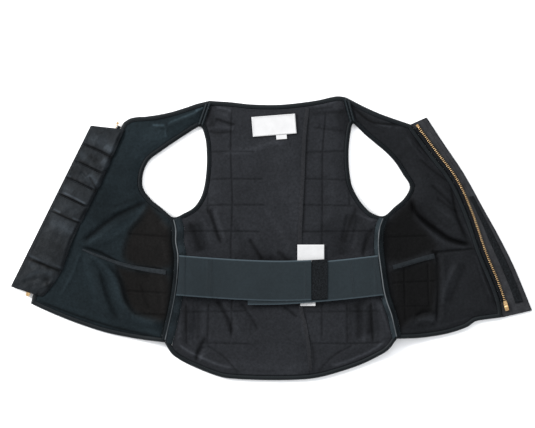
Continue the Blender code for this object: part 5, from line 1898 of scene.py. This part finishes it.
def make_teeth(side):
    """Brass teeth clamped on the bead of the tape, one by one, with the bead between them."""
    start, end = ZIP_SPANS[side]
    inner_reach = TAPE_WIDTH + GAP
    outer = inner_reach + CHAIN_WIDTH
    middle_z = TAPE_HEIGHT + TAPE_THICKNESS / 2
    near = zip_line(side, inner_reach, start, end, 4 * EDGE_CELLS)
    far = zip_line(side, outer, start, end, 4 * EDGE_CELLS)
    run = lengths(zip_line(side, TAPE_WIDTH, start, end, EDGE_CELLS))[-1]
    teeth = round(run / TOOTH_PITCH)
    sections = (
        # (share across, half length in metres, half height in metres)
        (0.06, 0.0006, 0.0011),
        (0.16, 0.0009, 0.0016),
        (0.5, 0.0009, 0.0016),
        (0.72, 0.0007, 0.0014),
        (0.90, 0.0006, 0.0012),
        (0.94, 0.0004, 0.0009),
    )
    points = []
    faces = []
    for tooth in range(teeth):
        share = (tooth + 0.35) / teeth
        a = np.array(at_share(near, share))
        b = np.array(at_share(far, share))
        ahead = np.array(at_share(near, min(share + 0.004, 1))) - np.array(
            at_share(near, share - 0.0005))
        ahead /= np.linalg.norm(ahead)
        first = len(points)
        for across, half, tall in sections:
            place = a + (b - a) * across
            for corner in range(8):
                angle = math.radians(45 * corner + 22.5)
                x = math.copysign(abs(math.cos(angle)) ** 0.6, math.cos(angle))
                z = math.copysign(abs(math.sin(angle)) ** 0.6, math.sin(angle))
                points.append((*(place + ahead * half * x), middle_z + tall * z))
        for section in range(len(sections) - 1):
            here = first + section * 8
            for corner in range(8):
                after = (corner + 1) % 8
                faces.append((here + corner, here + 8 + corner, here + 8 + after, here + after))
        faces.append(tuple(first + corner for corner in range(8)))
        last = first + 8 * (len(sections) - 1)
        faces.append(tuple(last + corner for corner in reversed(range(8))))
    piece = mesh_piece(f"{side}_zip_teeth", points, faces, [BRASS])
    face_out(piece)
    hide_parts(f"{side}_zip_chain")
    bead = flat_array([p.lerp(q, 0.14) for p, q in zip(near, far)])
    stations = []
    for corner in range(8):
        angle = math.radians(45 * corner)
        side_shift = 0.0007 * math.cos(angle)
        step = flat_array([(q - p).normalized() * side_shift for p, q in zip(near, far)])
        stations.append(np.column_stack([
            bead + step, np.full(len(bead), middle_z + 0.0009 * math.sin(angle))]))
    loft_piece(f"{side}_zip_bead", np.stack(stations, axis=1), [TAPE_CLOTH])


def make_zip(side):
    make_tape(side)
    make_teeth(side)
    for end in ("pin", "stop"):
        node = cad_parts[f"{side}_zip_{end}"]
        node.data.materials.clear()
        node.data.materials.append(BRASS)
        bevel = node.modifiers.new("round", "BEVEL")
        bevel.width = 0.0007
        bevel.segments = 3


# Leather pieces

GUARD_ROWS = 26
GUARD_COLUMNS = 72
GUARD_STITCH_INSET = 0.035
GUARD_WRINKLES = 0.00045


# Painted highlights and painted shade on the guard's pads and creases: path in pixels, width in
# pixels, strength, positive for shade and negative for highlight
GUARD_CONTRAST = 1.6
GUARD_PAINTED_LIGHT_AND_SHADE = (
    (((87, 137), (100, 141), (117, 150)), 5.0, -0.6),
    (((104, 146), (113, 152)), 3.0, -0.7),
    (((79, 152), (86, 159)), 3.5, -0.6),
    (((102, 160), (109, 167)), 4.0, -1.0),
    (((90, 154), (97, 164)), 3.0, 0.3),
    (((88, 174), (94, 182), (99, 188)), 4.0, -0.9),
    (((70, 168), (80, 178)), 4.0, 0.1),
    (((62, 187), (74, 192)), 3.0, -0.5),
    (((75, 195), (90, 203)), 4.0, -0.2),
    (((58, 202), (80, 213)), 4.0, -0.2),
    (((50, 220), (62, 226), (76, 231)), 5.0, -0.8),
    (((30, 240), (50, 246), (68, 252)), 9.0, 0.2),
    (((61.5, 191.5), (74, 197.5), (87, 204.5)), 0.9, -1.4),
    (((53, 209), (61, 213)), 0.9, -1.4),
    (((72, 218), (81, 221.5)), 0.9, -1.0),
    (((67, 174.5), (71, 177)), 1.0, -1.4),
    (((26, 254), (42, 261), (67, 270)), 1.1, -0.9),
    (((84.3, 144.3), (98, 150), (114.3, 159.3)), 1.6, 0.5),
    (((89, 176), (95, 186), (97, 192)), 1.3, 0.45),
    (((77, 160), (90, 167), (103, 175)), 1.6, 0.5),
    (((67, 176), (83, 184), (98.6, 193.6)), 1.4, 0.45),
    (((59.3, 193.6), (73, 200), (87, 207)), 1.3, 0.6),
    (((51.4, 210), (66, 217), (81.4, 223.6)), 1.3, 0.6),
    (((27, 258), (40, 263), (62, 271)), 1.6, 0.7),
    (((38, 262), (46, 265), (52, 269)), 2.0, 0.5),
    (((30, 268), (36, 262), (42, 266)), 2.4, -0.4),
    (((24, 278), (38, 272), (54, 274)), 2.0, -0.5),
    (((58, 274), (54, 284)), 1.8, -0.5),
    (((46, 276), (48, 288)), 3.0, 0.3),
    (((88, 132), (74, 160), (56, 196), (30, 248), (14, 284)), 2.2, 0.3),
)


def make_guard():
    """Ribbed guard: padded bars, pressed creases with a lip, a step and a crumpled end."""
    node = "left_zip_guard"
    tree = surface_tree(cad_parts[node])
    outer = spline([spot(across, down) for across, down in FLAP_OUTER_EDGE])
    inner = spline([spot(across, down) for across, down in FLAP_INNER_EDGE])
    columns = np.linspace(0, 1, GUARD_COLUMNS + 1)
    grid = []
    pads = []
    for pad, ((a0, b0), (a1, b1)) in enumerate(zip(FLAP_CREASES, FLAP_CREASES[1:])):
        last = pad == len(FLAP_CREASES) - 2
        for row in range(GUARD_ROWS + (1 if last else 0)):
            share = row / GUARD_ROWS
            a = np.array(at_share(outer, a0 + (a1 - a0) * share))
            b = np.array(at_share(inner, b0 + (b1 - b0) * share))
            grid.append(a + (b - a) * columns[:, None])
            pads.append((pad, share))
    grid = np.array(grid)
    rows = len(grid)
    flat = grid.reshape(-1, 2)
    low = np.array([
        (tree.ray_cast(Vector((x, y, -1)), -DOWN)[0] or Vector((0, 0, FLAP_HANG))).z
        for x, y in flat]).reshape(rows, -1)
    for _ in range(6):
        padded = np.pad(low, 1, mode="edge")
        low = (padded[:-2, 1:-1] + padded[2:, 1:-1] + padded[1:-1, :-2] + padded[1:-1, 2:]
               + 2 * low) / 6
    waves = ripples(flat, 0.011, 9).reshape(rows, -1)
    crumple = ripples(flat, 0.019, 7).reshape(rows, -1)
    rim = np.minimum(columns, 1 - columns)
    rim_rise = smooth(rim, 0.0, 0.07)
    high = np.zeros((rows, len(columns)))
    for index, (pad, share) in enumerate(pads):
        away = min(share, 1 - share)
        if pad < 5:
            crest = (4 * share * (1 - share)) ** 0.42
            lip = 0.0011 * math.exp(-((share - 0.93) / 0.05) ** 2) * smooth(columns, 0.04, 0.12)
            lip = lip * smooth(1 - columns, 0.05, 0.2)
            groove = 0.0016 * math.exp(-((away) / 0.045) ** 2)
            pad_rise = FLAP_PAD_RISE * crest * rim_rise
            high[index] = pad_rise + lip - groove * smooth(columns, 0.02, 0.1) * smooth(
                1 - columns, 0.02, 0.1)
            high[index] += GUARD_WRINKLES * waves[index] * (1.2 if pad < 3 else 0.6)
        elif pad == 5:
            high[index] = FLAP_PAD_RISE * 0.8 * rim_rise * float(smooth(share, 0, 0.08))
            high[index] += GUARD_WRINKLES * waves[index] * 1.1 * (1 - share)
            high[index] += 0.0016 * float(smooth(share, 0.86, 0.97))
        else:
            high[index] = 0.0011 * crumple[index] + GUARD_WRINKLES * waves[index]
            high[index] += 0.0010 * rim_rise
            high[index] -= 0.0014 * float(1 - smooth(share, 0.02, 0.16))
    stroke_marks = (
        # (pixel path, width in pixels, millimetres)
        (((80, 171), (87, 180), (94, 190)), 1.6, -1.6),
        (((84, 170), (90, 178), (97, 188)), 2.0, 1.1),
        (((28, 262), (38, 260), (50, 266), (58, 272)), 1.8, 1.2),
        (((24, 276), (36, 270), (50, 274)), 2.0, 1.3),
        (((22, 284), (35, 279), (52, 283)), 2.0, -1.3),
        (((38, 289), (50, 283), (60, 278)), 1.8, 1.2),
        (((63, 270), (56, 282), (50, 292)), 1.6, 1.0),
        (((95, 133), (104, 139), (113, 143)), 1.6, -0.7),
        (((96, 138), (104, 144), (111, 150)), 1.8, 0.7),
    )
    marks = np.zeros(len(flat))
    for path, width, height in stroke_marks:
        marks += 0.001 * height * stroke(flat, path, width, width)
    high += marks.reshape(rows, -1)
    end_rim = smooth(np.arange(rows), 0, 5) * smooth(rows - 1 - np.arange(rows), 0, 5)
    thin = 0.18 + 0.82 * smooth(1 - columns, 0.0, 0.12)
    edge = (0.55 + 0.45 * rim_rise)[None] * (0.6 + 0.4 * end_rim)[:, None] * thin[None]
    thickness = np.maximum((FLAP_THICKNESS - 0.0008) * edge + high * thin[None], 0.0012)
    # Painted highlights and painted shade of the guard, scaled by GUARD_CONTRAST
    painted_light_and_shade = np.ones(len(flat))
    for path, width, strength in GUARD_PAINTED_LIGHT_AND_SHADE:
        painted_light_and_shade *= 1 - GUARD_CONTRAST * strength * stroke(flat, path, width, width)
    upper = np.concatenate([grid, (low + thickness)[..., None]], axis=2)
    lower = np.concatenate([grid, low[..., None]], axis=2)
    piece = slab_piece("left_guard_leather", upper, lower, [GUARD_LEATHER])
    face_out(piece)
    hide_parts(node)
    tint(piece, "painted_light_and_shade", painted_light_and_shade)
    for column in (3, GUARD_COLUMNS - 3):
        seam = upper[:, column].copy()
        seam[:, 2] += STITCH_RADIUS * 0.4
        stitch_along(seam)
    for pad in range(1, 6):
        seam = upper[pad * GUARD_ROWS + 2, 4:-4].copy()
        seam[:, 2] += STITCH_RADIUS * 0.3
        stitch_along(seam)
    return piece


PLACKET_RIBS = 0.0024
PLACKET_RIB_HEIGHT = 0.00028


def make_placket():
    """Leather strip under the open zip, ribbed along its edge, with the hook strip on it."""
    inner = zip_line("right", GAP, 0, 1, EDGE_CELLS)
    outer_edge = spline([spot(across, down) for across, down in PLACKET_OUTER_EDGE])
    outer = sampled(outer_edge, even_shares(EDGE_CELLS))
    a = flat_array(spline(inner, 10))
    b = flat_array(spline(outer, 10))
    columns = np.linspace(0, 1, 57)
    grid = a[:, None] + (b - a)[:, None] * columns[None, :, None]
    rows = len(grid)
    wide = np.linalg.norm(b - a, axis=1)
    from_edge = wide[:, None] * (1 - columns[None])
    down = np.linspace(0, 1, rows)[:, None]
    flat = grid.reshape(-1, 2)
    ribs = PLACKET_RIB_HEIGHT * np.cos(2 * math.pi * from_edge / PLACKET_RIBS)
    start = HOOK_STRIP_START
    ribs = ribs * (1 - smooth(down, start - 0.1, start + 0.1) * (columns[None] < 0.8))
    waves = 0.0003 * ripples(flat, 0.02).reshape(rows, -1)
    roll = smooth(from_edge, 0.0, 0.0028)
    groove = -0.0006 * np.exp(-((from_edge - 0.0085) / 0.0008) ** 2)
    top = PLACKET_CLEARANCE + PLACKET_THICKNESS * (0.62 + 0.38 * roll) + (ribs + waves + groove)
    bottom = np.full_like(top, PLACKET_CLEARANCE)
    upper = np.concatenate([grid, top[..., None]], axis=2)
    lower = np.concatenate([grid, bottom[..., None]], axis=2)
    piece = slab_piece("right_placket_leather", upper, lower, [PLACKET_LEATHER])
    face_out(piece)
    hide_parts("right_placket")
    area = float((wide.mean()) * np.linalg.norm(grid[1:, 28] - grid[:-1, 28], axis=1).sum())
    length = float(np.linalg.norm(grid[1:, 28] - grid[:-1, 28], axis=1).sum())
    for column in (52, 55):
        seam = upper[:, column].copy()
        seam[:, 2] += STITCH_RADIUS * 0.4
        stitch_along(seam)
    first, last = [PLACKET_COLUMNS[index] for index in HOOK_STRIP_COLUMNS]
    begin = round(start * (rows - 1))
    until = rows - 11
    shares = np.linspace(first + 0.01, last - 0.01, 13)
    a, b = a[begin:until], b[begin:until]
    strip = a[:, None] + (b - a)[:, None] * shares[None, :, None]
    base = PLACKET_CLEARANCE + PLACKET_THICKNESS + GAP + PLACKET_RIB_HEIGHT
    edge = smooth(np.minimum(shares - shares[0], shares[-1] - shares), 0, 0.03)
    narrow = smooth(np.arange(len(strip)), 0, 30)
    height = base + HOOK_STRIP_THICKNESS * (0.5 + 0.5 * edge[None]) * (0.4 + 0.6 * narrow[:, None])
    upper = np.concatenate([strip, height[..., None]], axis=2)
    lower = np.concatenate([strip, np.full_like(height, base - 0.0006)[..., None]], axis=2)
    piece = slab_piece("placket_hook_pile", upper, lower, [HOOK_PILE])
    face_out(piece)
    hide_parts("placket_hook_strip")


# Studio

CAMERA_HEIGHT = 6.0
CAMERA_LEVEL = 0.008
FLOOR_SIZE = 9.0


def make_studio():
    floor_finish = Nodes("pale_floor", 1.0, specular=0.0)
    floor_finish.shader.inputs["Base Color"].default_value = (0.92, 0.92, 0.92, 1)
    half = FLOOR_SIZE / 2
    mesh = bpy.data.meshes.new("studio_floor")
    mesh.from_pydata([(-half, -half, 0), (half, -half, 0), (half, half, 0), (-half, half, 0)],
                     [], [(0, 1, 2, 3)])
    mesh.materials.append(floor_finish.finish)
    floor = bpy.data.objects.new("studio_floor", mesh)
    floor.location.z = -0.0006
    bpy.context.scene.collection.objects.link(floor)
    lamps = (
        # (name, place, size, power)
        ("key", (-2.3, 1.1, 1.7), 1.1, 120),
        ("top", (0.3, 2.4, 2.3), 1.8, 45),
    )
    for name, place, size, power in lamps:
        light = bpy.data.lights.new(name, "AREA")
        light.shape = "DISK"
        light.size = size
        light.energy = power
        lamp = bpy.data.objects.new(name, light)
        lamp.location = place
        lamp.rotation_mode = "QUATERNION"
        lamp.rotation_quaternion = (-Vector(place)).to_track_quat("-Z", "Y")
        bpy.context.scene.collection.objects.link(lamp)
    world = bpy.data.worlds.new("studio")
    world.use_nodes = True
    background = world.node_tree.nodes["Background"]
    background.inputs["Color"].default_value = (0.95, 0.97, 1.0, 1)
    background.inputs["Strength"].default_value = 1.12
    bpy.context.scene.world = world
    bpy.context.scene.view_settings.view_transform = "Standard"
    camera_data = bpy.data.cameras.new("camera")
    camera_data.sensor_width = 36
    camera_data.lens = 36 * CAMERA_HEIGHT / (PHOTO_SIZE[0] * PIXEL)
    camera_data.clip_end = 100
    camera = bpy.data.objects.new("camera", camera_data)
    middle = seen(PHOTO_SIZE[0] / 2, PHOTO_SIZE[1] / 2)
    camera.location = (middle.x, middle.y, CAMERA_HEIGHT + CAMERA_LEVEL)
    bpy.context.scene.collection.objects.link(camera)
    bpy.context.scene.camera = camera


POCKET_STARTS = {"left": 0.25, "right": 0.9}


def main():
    back, left, right = make_panels()
    make_bindings()
    for side in ("left", "right"):
        make_side_seam(side)
        make_shoulder_seam(side)
    tree = surface_tree(back)
    strip = draped_ribbon("closure_ribbon", CLOSURE_PATH, STRIP_WIDTH, STRIP_THICKNESS, tree,
                          STRIP_CLOTH, "closure_strip", 220, 1.0, 0.012)
    for side, panel in (("left", left), ("right", right)):
        draped_ribbon(f"{side}_pocket_ribbon", POCKET_BAND_PATHS[side], POCKET_BAND_WIDTH,
                      POCKET_BAND_THICKNESS, surface_tree(panel), BAND_CLOTH,
                      f"{side}_pocket_band", 90,
                      POCKET_STARTS[side])
    make_labels(surface_tree(back, strip))
    make_belt()
    for side in ("left", "right"):
        make_zip(side)
    make_guard()
    make_placket()
    make_stitches("stitching", "dark", THREAD)
    make_stitches("label_stitching", "pale", PALE_THREAD)
    make_studio()


main()
